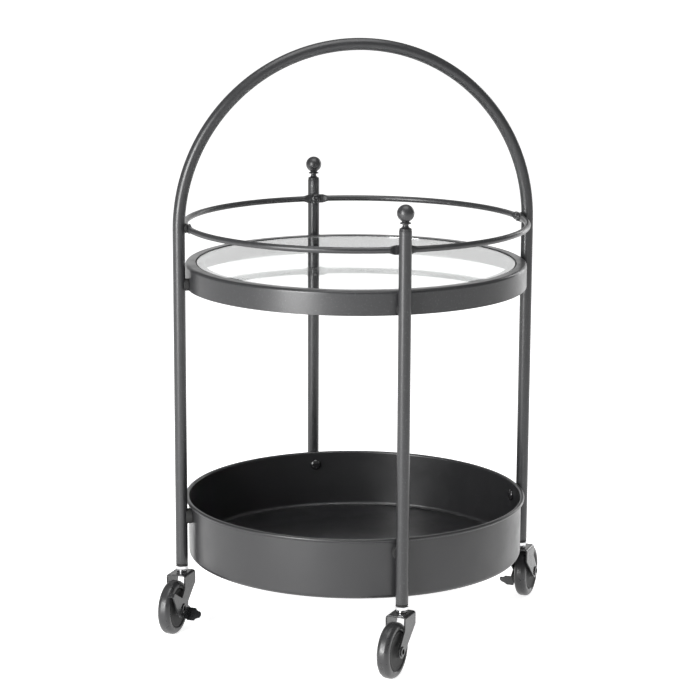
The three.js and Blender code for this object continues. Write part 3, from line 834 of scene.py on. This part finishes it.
@dataclass(frozen=True)
class Fixing:
    """A screw and a spacer at each post that hold a ring.

    inner and outer are the ring's two faces, as distances from the cart's axis.
    """

    name: str
    height: float
    inner: float
    outer: float
    head_radius: float
    head_height: float
    spacer_radius: float
    head_shape: HeadShape
    hole_radius: float = 2.8
    shank_radius: float = 2.5
    reach: float = 3.0
    saddle: float = 3.0
    socket_radius: float = 2.0
    pitch: float = 0.8

    def drill(self, station: Station, low: float, high: float) -> Surface:
        """Radial cutter for the screw's hole between two distances from the cart's axis."""
        place = station.at_centre @ raised(self.height) @ ALONG_X
        return moved(rod(self.hole_radius, low, high), place)

    def drilled(self, mesh: bpy.types.Mesh) -> bpy.types.Mesh:
        """Drills a ring for the screws of all posts."""
        ends = (self.inner - 4, self.outer + 4)
        cutters = joined(self.drill(station, *ends) for station in STATIONS)
        return boolean(mesh, mesh_of("cutters", cutters), "DIFFERENCE")

    def screw(self) -> Surface:
        """Head, threaded shank and tip, turned and laid along +X.

        The button's crown is a quarter ellipse and has a drive socket; the dome is a fuller one.
        The thread is a zigzag of the shank's radius along its length.

        Returns:
            The screw's surface at the height of the fixing.
        """
        seat = self.inner - SIZES.gap
        tip = SIZES.post_face + SIZES.tube_wall + self.reach
        swing = np.linspace(0, math.pi / 2, 15)
        rise = 2.4 if self.head_shape is HeadShape.DOME else 2.0
        out = self.head_radius * np.sin(swing) ** (2 / rise)
        along = seat - 0.5 - (self.head_height - 0.5) * np.cos(swing) ** (2 / rise)
        crown = np.stack([out, along], axis=1)
        if self.head_shape is HeadShape.BUTTON:
            wide = self.socket_radius
            crown = crown[crown[:, 0] > wide * 1.1]
            mouth = crown[0, 1]
            socket = [[0, 1.5], [wide * 0.5, 1.35], [wide, 1.1], [wide, 0.12]]
            crown = np.vstack([np.array(socket) + [0, mouth], crown])
        start = seat + 1.2
        count = int((tip - start) / (self.pitch / 2))
        along = np.linspace(start, tip - 0.6, count)
        thread = np.where(np.arange(count) % 2, self.shank_radius - 0.35, self.shank_radius)
        profile = np.vstack(
            [
                crown,
                [[self.head_radius - 0.15, seat], [self.shank_radius, seat]],
                np.stack([thread, along], axis=1),
                [[self.shank_radius - 0.7, tip], [0, tip]],
            ]
        )
        return moved(turned(profile, 36), raised(self.height) @ ALONG_X)

    def spacer(self) -> bpy.types.Mesh:
        """Sleeve with rounded rims, laid along +X and hollowed to sit round its post."""
        end = SIZES.post_face + self.saddle
        start = self.outer + SIZES.gap
        bore, out = self.hole_radius, self.spacer_radius
        corners = [(bore, start), (out, start), (out, end), (bore, end)]
        ring = revolved(corners, [0.1, 0.5, 0.5, 0.1], 4, 64)
        ring = moved(ring, raised(self.height) @ ALONG_X)
        reach = 30.0
        post = rod(SIZES.tube_radius + SIZES.gap, self.height - reach, self.height + reach, 96)
        post = moved(post, Matrix.Translation((SIZES.post_circle, 0, 0)))
        return boolean(mesh_of("ring", ring), mesh_of("post", post), "DIFFERENCE")

    def build(self) -> None:
        """Adds the screw and the spacer at each post."""
        for station in STATIONS:
            turn = station.at_centre
            screw = moved(self.screw(), turn)
            add_piece(f"{self.name}_screw_{station.name}", screw, Look.SCREW)
            spacer = self.spacer()
            spacer.transform(turn)
            add_piece(f"{self.name}_spacer_{station.name}", spacer, Look.PLASTIC)


RAIL_FIXING = Fixing("rail", SIZES.rail_lift, 222.7, 225.7, 6.0, 3.0, 6.0, HeadShape.BUTTON)
BAND_FIXING = Fixing("upper_tray", 461.7, 222.6, 224.1, 5.0, 3.0, 8.0, HeadShape.BUTTON)
PAN_FIXING = Fixing("lower_tray", 151.7, 221.3, 222.5, 7.5, 4.2, 10.0, HeadShape.DOME)
FIXINGS = (RAIL_FIXING, BAND_FIXING, PAN_FIXING)


# ---- Tubes --------------------------------------------------------------------------------------


@dataclass
class Tubes:
    """The bent hoop, the straight posts, their finials and the plugs in the tube ends."""

    lip: float = 0.35
    arc_steps: int = 144
    ball_radius: float = 10.75
    ball_lift: float = 21.9
    hoop_drop: float = 0.35
    sides: int = 48

    def drilled(self, mesh: bpy.types.Mesh, names: Iterable[str]) -> bpy.types.Mesh:
        """Drills the cart-side wall of the tubes at the named posts."""
        cutters = joined(
            fixing.drill(station, fixing.outer, SIZES.post_circle)
            for station in STATIONS
            if station.name in names
            for fixing in FIXINGS
        )
        return boolean(mesh, mesh_of("cutters", cutters), "DIFFERENCE")

    def hoop_path(self) -> tuple[Array, Array]:
        """Centre line of the hoop and the direction square to it in its own plane.

        The legs are straight. Over them the line is (-R cos a, spring + H sin a) for a from 0 to
        180 degrees, with H a hair under R.

        Returns:
            Places, n by 3, and outward directions, n by 3.
        """
        swing = np.linspace(0, math.pi, self.arc_steps + 1)
        rise = SIZES.post_circle - self.hoop_drop
        x = -SIZES.post_circle * np.cos(swing)
        z = SIZES.hoop_spring + rise * np.sin(swing)
        bends = np.stack([x, 0 * x, z], axis=1)
        out = np.stack([-np.cos(swing), 0 * x, np.sin(swing)], axis=1)
        low = SIZES.post_bottom
        lift = np.array([low, low + self.lip, low + 160.0, SIZES.hoop_spring - 60.0])
        leg = np.stack([np.full(4, -SIZES.post_circle), np.zeros(4), lift], axis=1)
        away = np.tile([-1.0, 0, 0], (4, 1))
        mirror = np.array([-1, 1, 1])
        path = np.vstack([leg, bends, leg[::-1] * mirror])
        return path, np.vstack([away, out, away[::-1] * mirror])

    def hoop(self) -> Surface:
        """A tube along the hoop's line, with its bore and rounded lips in one closed skin.

        Place(i, j) = line_i + r_i (cos b_j out_i + sin b_j y). The radius is the tube's on the way
        out and the bore's on the way back, and it steps in by the lip at both ends.

        Returns:
            The hoop's surface.
        """
        path, out = self.hoop_path()
        count = len(path)
        outer = np.full(count, SIZES.tube_radius)
        outer[[0, -1]] -= self.lip
        inner = np.full(count, SIZES.tube_radius - SIZES.tube_wall)
        line = np.vstack([path, path[::-1]])
        away = np.vstack([out, out[::-1]])
        radius = np.r_[outer, inner][:, None, None]
        angle = round_angles(self.sides)
        side = np.array([0.0, 1.0, 0.0])
        ring = np.cos(angle)[None, :, None] * away[:, None] + np.sin(angle)[None, :, None] * side
        return surface_from_grid(line[:, None] + radius * ring, wrap_rows=True)

    def post(self) -> Surface:
        """A straight tube with rounded lips, about Z."""
        low, high = SIZES.post_bottom, SIZES.post_top
        radius = SIZES.tube_radius
        bore = radius - SIZES.tube_wall
        corners = [(bore, low), (radius, low), (radius, high), (bore, high)]
        return revolved(corners, [self.lip] * 4, 4, self.sides)

    def finial(self) -> Surface:
        """Ball on a neck, with a disc collar, a waist, a flared cap and a plug, about Z."""
        base = -self.ball_lift + SIZES.gap
        plug = SIZES.tube_radius - SIZES.tube_wall - SIZES.gap
        corners = [
            (0, base - 12), (plug, base - 12), (plug, base), (7.75, base), (7.75, base + 0.9),
            (7.2, base + 1.35), (7.75, base + 1.8), (7.6, base + 2.6), (4.4, base + 4.4),
            (3.5, base + 6.6), (3.9, base + 8.3), (7.1, base + 8.9), (7.1, base + 9.8),
            (5.0, base + 10.6), (4.5, base + 11.6),
        ]
        radii = [0, 0.6, 0.1, 0.3, 0.3, 0.3, 0.3, 0.5, 2.0, 2.4, 0.7, 0.4, 0.4, 0.7, 0]
        ball = arc((0, 0), self.ball_radius, -64, 90, 40)
        ball[-1, 0] = 0
        profile = np.vstack([filleted(corners, radii), ball])
        return moved(turned(profile, 64), raised(SIZES.post_top + self.ball_lift))

    def insert(self) -> Surface:
        """Plastic plug in a tube's lower end, with a rounded flange, about Z."""
        low = SIZES.insert_bottom
        plug = SIZES.tube_radius - SIZES.tube_wall - SIZES.gap
        bore, rim = 5.3, 7.9
        corners = [
            (bore, low), (rim, low), (rim, low + 1.8), (plug, low + 1.8), (plug, low + 20),
            (bore, low + 20),
        ]
        return revolved(corners, [0.2, 0.6, 0.3, 0.1, 0.5, 0.2], 4, 64)

    def build(self) -> None:
        """Adds the tubes, the finials and the inserts."""
        hoop = self.drilled(mesh_of("hoop", self.hoop()), ("left", "right"))
        add_piece("arch_hoop", hoop, Look.FRAME)
        for station in STATIONS:
            name, place = station.name, station.at_post
            add_piece(f"{name}_post_insert", moved(self.insert(), place), Look.PLASTIC)
            if name not in ("front", "rear"):
                continue
            post = self.drilled(mesh_of("post", moved(self.post(), place)), (name,))
            add_piece(f"{name}_post", post, Look.FRAME)
            add_piece(f"{name}_finial", moved(self.finial(), place), Look.FRAME, sharp=40)


# ---- Gallery rail -------------------------------------------------------------------------------


@dataclass
class GalleryRail:
    """Round rod ring, pressed flat and tall where a post holds it."""

    radius: float = 224.2
    rod: float = 3.95
    flat_depth: float = 1.45
    flat_height: float = 5.95
    flat_length: float = 18.0
    steps: int = 720
    sides: int = 32

    def surface(self) -> Surface:
        """Ring whose section goes from a circle to an upright rounded bar at each post.

        With p from 0 on the rod to 1 on a flat, the section is the superellipse
        (a |cos b|^(2/n), h |sin b|^(2/n)), where a, h and n go from the rod's radius, its radius
        and 2 to half the flat's depth, half its height and 5.

        Returns:
            The rail's surface.
        """
        angle = round_angles(self.steps)
        angle -= 0.16 * np.sin(4 * angle)
        away = np.abs(np.sin(2 * angle)) * self.radius / 2
        share = np.clip((away - self.flat_length / 2) / (self.flat_length / 2), 0, 1)
        press = (1 - share * share * (3 - 2 * share))[:, None]
        turn = round_angles(self.sides)
        power = 2 / (2 + 3 * press)
        depth = self.rod + (self.flat_depth - self.rod) * press
        height = self.rod + (self.flat_height - self.rod) * press
        radius = self.radius + depth * np.sign(np.cos(turn)) * np.abs(np.cos(turn)) ** power
        z = SIZES.rail_lift + height * np.sign(np.sin(turn)) * np.abs(np.sin(turn)) ** power
        x, y = radius * np.cos(angle)[:, None], radius * np.sin(angle)[:, None]
        return surface_from_grid(np.stack([x, y, z], axis=-1), wrap_rows=True)

    def build(self) -> None:
        """Adds the rail, drilled for its screws."""
        rail = RAIL_FIXING.drilled(mesh_of("rail", self.surface()))
        add_piece("gallery_rail", rail, Look.FRAME, sharp=45)


# ---- Trays --------------------------------------------------------------------------------------


@dataclass
class UpperTray:
    """Rolled ring with a rounded flange, a step for the glass, and the pane in it."""

    radius: float = 224.1
    wall: float = 1.5
    height: float = 31.0
    flange: float = 13.5
    ledge: float = 11.6
    drop: float = 6.3
    top_round: float = 4.0
    glass_radius: float = 209.2
    glass_thickness: float = 5.0
    glass_recess: float = 1.0
    glass_edge: float = 0.6
    count: int = 320

    def ring(self) -> Surface:
        """The ring's section as one filleted outline, turned about Z."""
        base = SIZES.band_base
        top = base + self.height
        step = self.radius - self.flange
        rest = top - self.drop
        tip = step - self.ledge
        under, bend = self.wall, self.top_round
        corners = [
            (self.radius, base), (self.radius, top), (step, top), (step, rest), (tip, rest),
            (tip, rest - under), (step + under, rest - under), (step + under, top - under),
            (self.radius - under, top - under), (self.radius - under, base),
        ]
        radii = [0.4, bend, 1.1, 0.5, 0.5, 0.5, 1.2, 0.5, bend - under, 0.4]
        return revolved(corners, radii, 8, self.count)

    def pane(self) -> Surface:
        """Flat round pane with a polished, rounded edge, about Z."""
        top = SIZES.band_base + self.height - self.glass_recess
        low = top - self.glass_thickness
        edge, out = self.glass_edge, self.glass_radius
        inset = out - edge - 0.4
        corners = [(0, low), (inset, low), (out, low), (out, top), (inset, top), (0, top)]
        return revolved(corners, [0, 0, edge, edge, 0, 0], 5, self.count, closed=False)

    def build(self) -> None:
        """Adds the ring, drilled for its screws, and the pane."""
        ring = BAND_FIXING.drilled(mesh_of("ring", self.ring()))
        add_piece("upper_tray_frame", ring, Look.FRAME)
        add_piece("glass_panel", self.pane(), Look.GLASS, sharp=25)


@dataclass
class LowerTray:
    """Deep pan: flat floor, rounded corner, upright wall and a rim rolled outwards."""

    radius: float = 222.5
    wall: float = 1.2
    height: float = 79.5
    corner: float = 6.0
    bead: float = 2.4
    overhang: float = 4.5
    count: int = 320

    def surface(self) -> Surface:
        """The pan's section from the axis out, up, round the bead and back, turned about Z."""
        base = SIZES.pan_base
        inside = self.radius - self.wall
        bead = (self.radius + self.overhang - self.bead, base + self.height - self.bead)
        foot = (self.radius - self.corner, base + self.corner)
        profile = np.vstack(
            [
                [[0, base]],
                [[self.radius * 0.5, base]],
                arc(foot, self.corner, -90, 0, 10),
                [[self.radius, bead[1] - 3.2]],
                arc(bead, self.bead, -150, 90, 26),
                arc((inside + 2.6, base + self.height - 2.6), 2.6, 90, 180, 8),
                arc(foot, self.corner - self.wall, 0, -90, 10),
                [[self.radius * 0.5, base + self.wall]],
                [[0, base + self.wall]],
            ]
        )
        return turned(profile, self.count)

    def build(self) -> None:
        """Adds the pan, drilled for its screws."""
        pan = PAN_FIXING.drilled(mesh_of("pan", self.surface()))
        add_piece("lower_tray", pan, Look.PAN)


# ---- Casters ------------------------------------------------------------------------------------


@dataclass
class Caster:
    """One swivel caster: stem, fork, wheel, axle and, on two of them, a brake lever."""

    station: Station
    axle_radius: float = 4.5
    axle_bore: float = 3.2
    flange_radius: float = 6.4
    flange: float = 1.2
    end_radius: float = 9.0
    front: float = 13.5
    back: float = 20.6
    shoulder: float = 59.8
    bend: float = 3.5
    lever_plate: float = 1.5
    pedal_reach: float = 19.0

    def stem(self) -> bpy.types.Mesh:
        """Turned stem with its pivot and neck, and a chamfered hexagon collar round it."""
        gap = SIZES.gap
        head = SIZES.bridge_top - SIZES.fork_plate - gap
        low = SIZES.collar_bottom
        top = SIZES.bridge_top + gap
        high = low + SIZES.collar_height
        corners = [
            (0, head - 1.5), (6.4, head - 1.5), (6.4, head), (4, head), (4, top), (6.7, top),
            (6.7, low - 1.1), (5.6, low - 0.5), (5.6, low + 1), (5, low + 2), (5, high + 17),
            (0, high + 17),
        ]
        radii = [0, 0.7, 0.2, 0.1, 0.1, 0.5, 0.6, 0.3, 0.2, 0.3, 1, 0]
        spindle = revolved(corners, radii, 4, 64, closed=False)
        reach = 9.0
        hexagon = [
            (0, low), (reach - 1.5, low), (reach, low + 0.8), (reach, high - 0.8),
            (reach - 1.5, high), (0, high),
        ]
        crown = [
            (0, low - 1), (7.6, low), (8.5, low + 1), (8.5, high - 1), (7.6, high), (0, high + 1)
        ]
        collar, trim = turned(np.array(hexagon), 6), turned(np.array(crown), 96)
        nut = boolean(mesh_of("collar", collar), mesh_of("trim", trim), "INTERSECT")
        return boolean(nut, mesh_of("spindle", spindle), "UNION")

    def edge(self, height: Array, side: int) -> Array:
        """The fork's front (+1) or back (-1) edge at each height, in its side view.

        From the top down it is a rounded corner, an upright, a straight line that touches the
        circle round the axle, and that circle.

        Args:
            height: Heights above the floor.
            side: +1 for the front edge and -1 for the back edge.

        Returns:
            Distances ahead of the swivel axis.
        """
        centre = np.array([-SIZES.trail, SIZES.wheel_radius])
        reach = self.front if side > 0 else -self.back
        corner = np.array([reach, self.shoulder])
        way = corner - centre
        lean = math.acos(self.end_radius / np.linalg.norm(way))
        angle = math.atan2(way[1], way[0]) - side * lean
        touch = centre + self.end_radius * np.array([math.cos(angle), math.sin(angle)])
        drop = np.clip(height - centre[1], -self.end_radius, self.end_radius)
        circle = centre[0] + side * np.sqrt(self.end_radius**2 - drop**2)
        slope = touch[0] + (corner[0] - touch[0]) * (height - touch[1]) / (corner[1] - touch[1])
        top = SIZES.bridge_top - self.bend
        over = np.clip(height - top, 0, self.bend)
        upright = reach - side * (self.bend - np.sqrt(self.bend**2 - over**2))
        above = np.where(height < self.shoulder, slope, upright)
        return np.where(height < touch[1], circle, above)

    def fork(self) -> bpy.types.Mesh:
        """Sheet folded to an upside-down U, with legs that taper to round ends.

        The fold's middle line goes up one leg, round a bend, over the bridge and down again. At
        each place on it the sheet's section is a rectangle with rounded edges, as wide as the
        outline is there.

        Returns:
            The fork, drilled for the pivot and the axle.
        """
        half = SIZES.fork_plate / 2
        wide = SIZES.fork_outer - half
        high = SIZES.bridge_top - half
        bend = self.bend - half
        low = SIZES.wheel_radius - self.end_radius
        tip = low + self.end_radius * (1 - np.cos(np.linspace(0, math.pi / 2, 15)))
        rise = np.r_[tip, np.linspace(tip[-1] + 1, high - bend, 18)[:-1]]
        leg = np.stack([np.full(len(rise), wide), rise], axis=1)
        fold = arc((wide - bend, high - bend), bend, 0, 90, 10)
        line = np.vstack([leg, fold])
        line = np.vstack([line, line[::-1] * np.array([-1, 1])])
        step = np.gradient(line, axis=0)
        step /= np.linalg.norm(step, axis=1, keepdims=True)
        normal = np.stack([step[:, 1], -step[:, 0]], axis=1)
        ahead, behind = self.edge(line[:, 1], 1), self.edge(line[:, 1], -1)
        centre, reach = (ahead + behind) / 2, (ahead - behind) / 2
        radius = np.minimum(0.5, reach)[:, None]
        x, n = rounded_bars(reach[:, None], half, radius, radius, 5)
        y, z = line[:, :1] + n * normal[:, :1], line[:, 1:] + n * normal[:, 1:]
        grid = np.stack([centre[:, None] + x, y, z], axis=-1)
        sheet = mesh_of("sheet", surface_from_grid(grid, wrap_rows=False))
        gap = SIZES.gap
        pivot = rod(4 + gap, self.shoulder, SIZES.bridge_top + 9, 48)
        axle = moved(rod(self.axle_radius + gap, -30, 30, 48), self.on_axle())
        return boolean(sheet, mesh_of("holes", joined([pivot, axle])), "DIFFERENCE")

    @staticmethod
    def on_axle() -> Matrix:
        """Lays a piece made about Z on the axle, in the caster's own frame."""
        return Matrix.Translation((-SIZES.trail, 0, SIZES.wheel_radius)) @ ALONG_MINUS_Y

    def axle(self) -> Surface:
        """Hollow rivet with a rolled ring outside each leg, about Z."""
        extra = self.lever_plate + SIZES.gap if self.station.brake else 0
        near = SIZES.fork_outer + SIZES.gap + extra
        far = -SIZES.fork_outer - SIZES.gap
        bore, pin, out = self.axle_bore, self.axle_radius, self.flange_radius
        corners = [
            (bore, far - self.flange), (out, far - self.flange), (out, far), (pin, far),
            (pin, near), (out, near), (out, near + self.flange), (bore, near + self.flange),
        ]
        return revolved(corners, [0.9, 0.7, 0.3, 0.1, 0.1, 0.3, 0.7, 0.9], 5, 64)

    def hub(self) -> Surface:
        """Moulded core: a dished web between the boss and the tyre's seat, about Z.

        Half of its width goes from the boss down into the dish and up again to a lip at the seat.

        Returns:
            The hub's surface.
        """
        bore = self.axle_radius + SIZES.gap
        boss = SIZES.boss_half
        half = np.array(
            [(bore, boss), (8.4, boss), (9.2, 6.4), (20.5, 6.9), (23.5, 7.5), (25.7, 6.6)]
        )
        corners = np.vstack([half, half[::-1] * np.array([1, -1])])
        radii = [0.4, 0.7, 2.2, 3.0, 1.4, 0.3]
        return revolved(corners, radii + radii[::-1], 6, 128)

    def tyre(self) -> Surface:
        """Tread with full round shoulders and a soft inner lip, about Z."""
        radius, half, seat = SIZES.wheel_radius, 8.5, 26.0
        corners = [
            (seat, -half + 1.7), (27.6, -half + 0.2), (radius, -half), (radius, half),
            (27.6, half - 0.2), (seat, half - 1.7),
        ]
        return revolved(corners, [0.5, 1.4, 6.2, 6.2, 1.4, 0.5], 10, 160)

    def lever(self) -> bpy.types.Mesh:
        """Stamped brake lever: hub plate, nose lug over the tread and pedal bent outwards.

        The plate is a filleted outline with thickness. The lug is a slab of its own outline that
        reaches in over the tread, and the pedal is a strip carried outwards along a straight.

        Returns:
            The lever in the caster's own frame.
        """
        plate = self.lever_plate
        inner = SIZES.fork_outer + SIZES.gap
        tread = SIZES.wheel_radius + 2.6
        low, high = (math.radians(180 - a) for a in (36, 45))
        outer = tread + plate
        nose = [(outer * math.cos(a), outer * math.sin(a)) for a in (low, high)]
        root = [(tread * math.cos(a), tread * math.sin(a)) for a in (low, high)]
        outline = [
            *nose, (-3, 14), (21.7, -5.0), (21.9, -5.9), (13.4, -20.2), (0, -13), (-15, -8)
        ]
        points = filleted(outline, [0.6, 0.6, 6, 0.3, 0.3, 0.6, 8, 3], 5, closed=True)[:-1]
        blank = slab(points, -inner - plate, -inner)
        lug = filleted(root + nose[::-1], [0.3] * 4, 3, closed=True)[:-1]
        lug = slab(lug, -inner - plate, -inner + 6)
        lever = boolean(mesh_of("blank", blank), mesh_of("lug", lug), "UNION")
        lever = boolean(lever, mesh_of("pedal", self.pedal(inner)), "UNION")
        bore = rod(self.axle_radius + SIZES.gap, -2, 30, 48)
        lever = boolean(lever, mesh_of("bore", moved(bore, ALONG_MINUS_Y)), "DIFFERENCE")
        lever.transform(Matrix.Translation((-SIZES.trail * MM, 0, SIZES.wheel_radius * MM)))
        return bevelled(lever, 0.3)

    def pedal(self, inner: float) -> Surface:
        """Foot tab, a strip carried outwards along the axle's direction.

        Its width is full at the plate and over the first half of its reach, steps in over a short
        shoulder and ends in a rounded tip that curls down a little.

        Args:
            inner: Distance from the wheel's middle to the plate's inner face.

        Returns:
            The pedal's surface, round the axle.
        """
        root, end = np.array([22.0, 0, -5.5]), np.array([13.0, 0, -20.5])
        along = (end - root) / np.linalg.norm(end - root)
        width = float(np.linalg.norm(end - root))
        up = np.cross(along, [0, -1.0, 0])
        share = np.array([0.0, 0.3, 0.52, 0.62, 0.75, 0.88, 0.95, 0.985, 1.0])
        half = width / 2 * np.array([1.0, 1.0, 0.98, 0.7, 0.56, 0.5, 0.4, 0.24, 0.06])
        curl = np.array([0.0, 0.0, 0.0, -0.1, -0.4, -1.0, -1.3, -1.5, -1.6])
        out = np.outer(-inner - self.pedal_reach * share, [0, 1.0, 0])
        path = (root + end) / 2 + out - np.outer(curl - self.lever_plate / 2, up)
        radius = 0.4
        fillet = np.minimum(radius, half * 0.9)[:, None]
        bars = rounded_bars(half[:, None], self.lever_plate / 2, fillet, radius, 4)
        section = np.stack(bars, axis=-1)
        ends = np.zeros((1, section.shape[1], 2))
        section = np.concatenate([ends, section, ends])
        path = np.vstack([path[:1], path, path[-1:]])
        across = np.tile(along, (len(path), 1))
        return carried(path, across, np.tile(up, (len(path), 1)), section)

    def build(self) -> None:
        """Adds the caster's pieces on their bodies."""
        name = self.station.name
        stem, fork = self.stem(), self.fork()
        stem.transform(in_metres(self.station.at_post))
        fork.transform(in_metres(self.station.at_caster))
        add_piece(f"{name}_caster_stem", stem, Look.CHROME, sharp=20)
        add_piece(f"{name}_fork", fork, Look.STEEL, f"{name}_caster")
        pieces = (
            (self.axle(), Look.STEEL, "caster", "axle"),
            (self.hub(), Look.CORE, "wheel", "wheel_hub"),
            (self.tyre(), Look.TREAD, "wheel", "wheel_tyre"),
        )
        for surface, look, body, node in pieces:
            surface = moved(surface, self.station.at_axle)
            add_piece(f"{name}_{node}", surface, look, f"{name}_{body}")
        if self.station.brake:
            lever = self.lever()
            lever.transform(in_metres(self.station.at_caster))
            add_piece(f"{name}_brake_lever", lever, Look.STEEL, f"{name}_brake")


def slab(outline: Array, near: float, far: float) -> Surface:
    """A flat plate of an outline in the XZ plane between two places on Y.

    Its rows are the outline's middle at the near face, the outline there, the outline at the far
    face and its middle, so each face is a fan round the middle.

    Args:
        outline: Corners, n by 2, in order round the plate.
        near: First place on Y.
        far: Second place on Y.

    Returns:
        The plate's surface.
    """
    middle = np.tile(outline.mean(0), (len(outline), 1))
    rows = np.stack([middle, outline, outline, middle])
    depth = np.broadcast_to(np.array([near, near, far, far])[:, None], rows.shape[:2])
    grid = np.stack([rows[..., 0], depth, rows[..., 1]], axis=-1)
    return surface_from_grid(grid, wrap_rows=False)


# ---- Studio -------------------------------------------------------------------------------------


@dataclass(frozen=True)
class SoftBox:
    """A rectangular light that faces a point."""

    name: str
    place: tuple[float, float, float]
    target: tuple[float, float, float]
    width: float
    height: float
    power: float

    def build(self) -> None:
        """Adds the light."""
        data = bpy.data.lights.new(self.name, "AREA")
        data.shape = "RECTANGLE"
        data.size, data.size_y = self.width, self.height
        data.energy = self.power
        light = linked(self.name, data)
        light.location = self.place
        aim = Vector(self.target) - Vector(self.place)
        light.rotation_euler = aim.to_track_quat("-Z", "Y").to_euler()


@dataclass
class Studio:
    """Camera, pale floor, white surroundings and soft boxes."""

    camera_place: tuple[float, float, float] = (-0.783, -2.980, 1.0114)
    yaw: float = 14.352
    pitch: float = 11.777
    roll: float = 0.241
    lens: float = 123.43
    floor_colour: Colour = (0.9, 0.9, 0.9)
    floor_glow: float = 0.8
    surroundings: float = 1.06
    front_glow: float = 0.3
    far_side: tuple[float, float, float] = (0.254, 0.967, 0.0)
    boxes: tuple[SoftBox, ...] = (
        SoftBox("key_box", (-2.2, -1.7, 0.92), (0, 0, 0.4), 1.15, 1.7, 115.0),
        SoftBox("top_box", (0.0, -0.3, 2.6), (0, 0, 0.4), 1.8, 1.8, 34.0),
        SoftBox("rim_box", (2.1, 1.5, 0.9), (0, 0, 0.4), 0.5, 1.6, 12.0),
    )

    def camera(self) -> None:
        """Adds the camera: level heading, tilt down and a small roll about its own axis."""
        data = bpy.data.cameras.new("camera")
        data.lens = self.lens
        data.sensor_width = 36.0
        data.clip_start, data.clip_end = 0.05, 60.0
        camera = linked("camera", data)
        turn = (
            turned_about("Z", -self.yaw)
            @ turned_about("X", 90 - self.pitch)
            @ turned_about("Z", self.roll)
        )
        camera.matrix_world = Matrix.Translation(self.camera_place) @ turn
        bpy.context.scene.camera = camera

    def floor(self) -> None:
        """Adds a wide pale disc for the cart to stand on: place = (r cos a, r sin a, 0)."""
        rings = np.array([[0.0, 0.0], [1.0, 0.0], [3.0, 0.0], [12.0, 0.0]])
        floor = linked("floor", mesh_of("floor", turned(rings / MM, 96)))
        material, wiring, shader = new_material("pale_floor")
        wiring.fill(
            shader,
            Base_Color=with_alpha(self.floor_colour),
            Roughness=0.9,
            Specular_IOR_Level=0.1,
            Emission_Color=with_alpha(WHITE),
            Emission_Strength=self.floor_glow,
        )
        floor.data.materials.append(material)

    def world(self) -> None:
        """Sets white surroundings that shine on the cart mostly from the far side.

        What is looked at, straight or through the glass, is white all round. What lights the cart
        and mirrors in it fades from that on the far side to a dim front.
        """
        world = bpy.data.worlds.new("white_surroundings")
        world.use_nodes = True
        back = world.node_tree.nodes["Background"]
        wiring = Wiring(world.node_tree)
        ray = wiring.add("ShaderNodeLightPath").outputs
        seen = wiring.maths("MAXIMUM", ray["Is Camera Ray"], ray["Is Transmission Ray"])
        far = wiring.add("ShaderNodeVectorMath", operation="DOT_PRODUCT")
        wiring.link(wiring.add("ShaderNodeTexCoord").outputs["Generated"], far.inputs[0])
        far.inputs[1].default_value = self.far_side
        glow = wiring.spread(far.outputs["Value"], 0.78, 0.98, self.front_glow, self.surroundings)
        strength = wiring.mixed("FLOAT", seen, glow, self.surroundings)
        wiring.fill(back, Color=with_alpha(WHITE), Strength=strength)
        bpy.context.scene.world = world

    def film(self) -> None:
        """Shows light values as they are, without a film curve."""
        view = bpy.context.scene.view_settings
        view.view_transform = "Standard"
        view.look = "None"

    def build(self) -> None:
        """Adds the whole studio."""
        self.film()
        self.camera()
        self.floor()
        self.world()
        for box in self.boxes:
            box.build()
        log.info("studio: camera, floor, surroundings and %d soft boxes", len(self.boxes))


# ---- Putting it together ------------------------------------------------------------------------


def main() -> None:
    """Builds the studio and every part of the cart."""
    logging.basicConfig(level=logging.INFO, format="%(name)s: %(message)s")
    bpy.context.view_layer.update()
    Studio().build()
    Tubes().build()
    GalleryRail().build()
    UpperTray().build()
    LowerTray().build()
    for fixing in FIXINGS:
        fixing.build()
    for station in STATIONS:
        Caster(station).build()


if __name__ == "__main__":
    main()
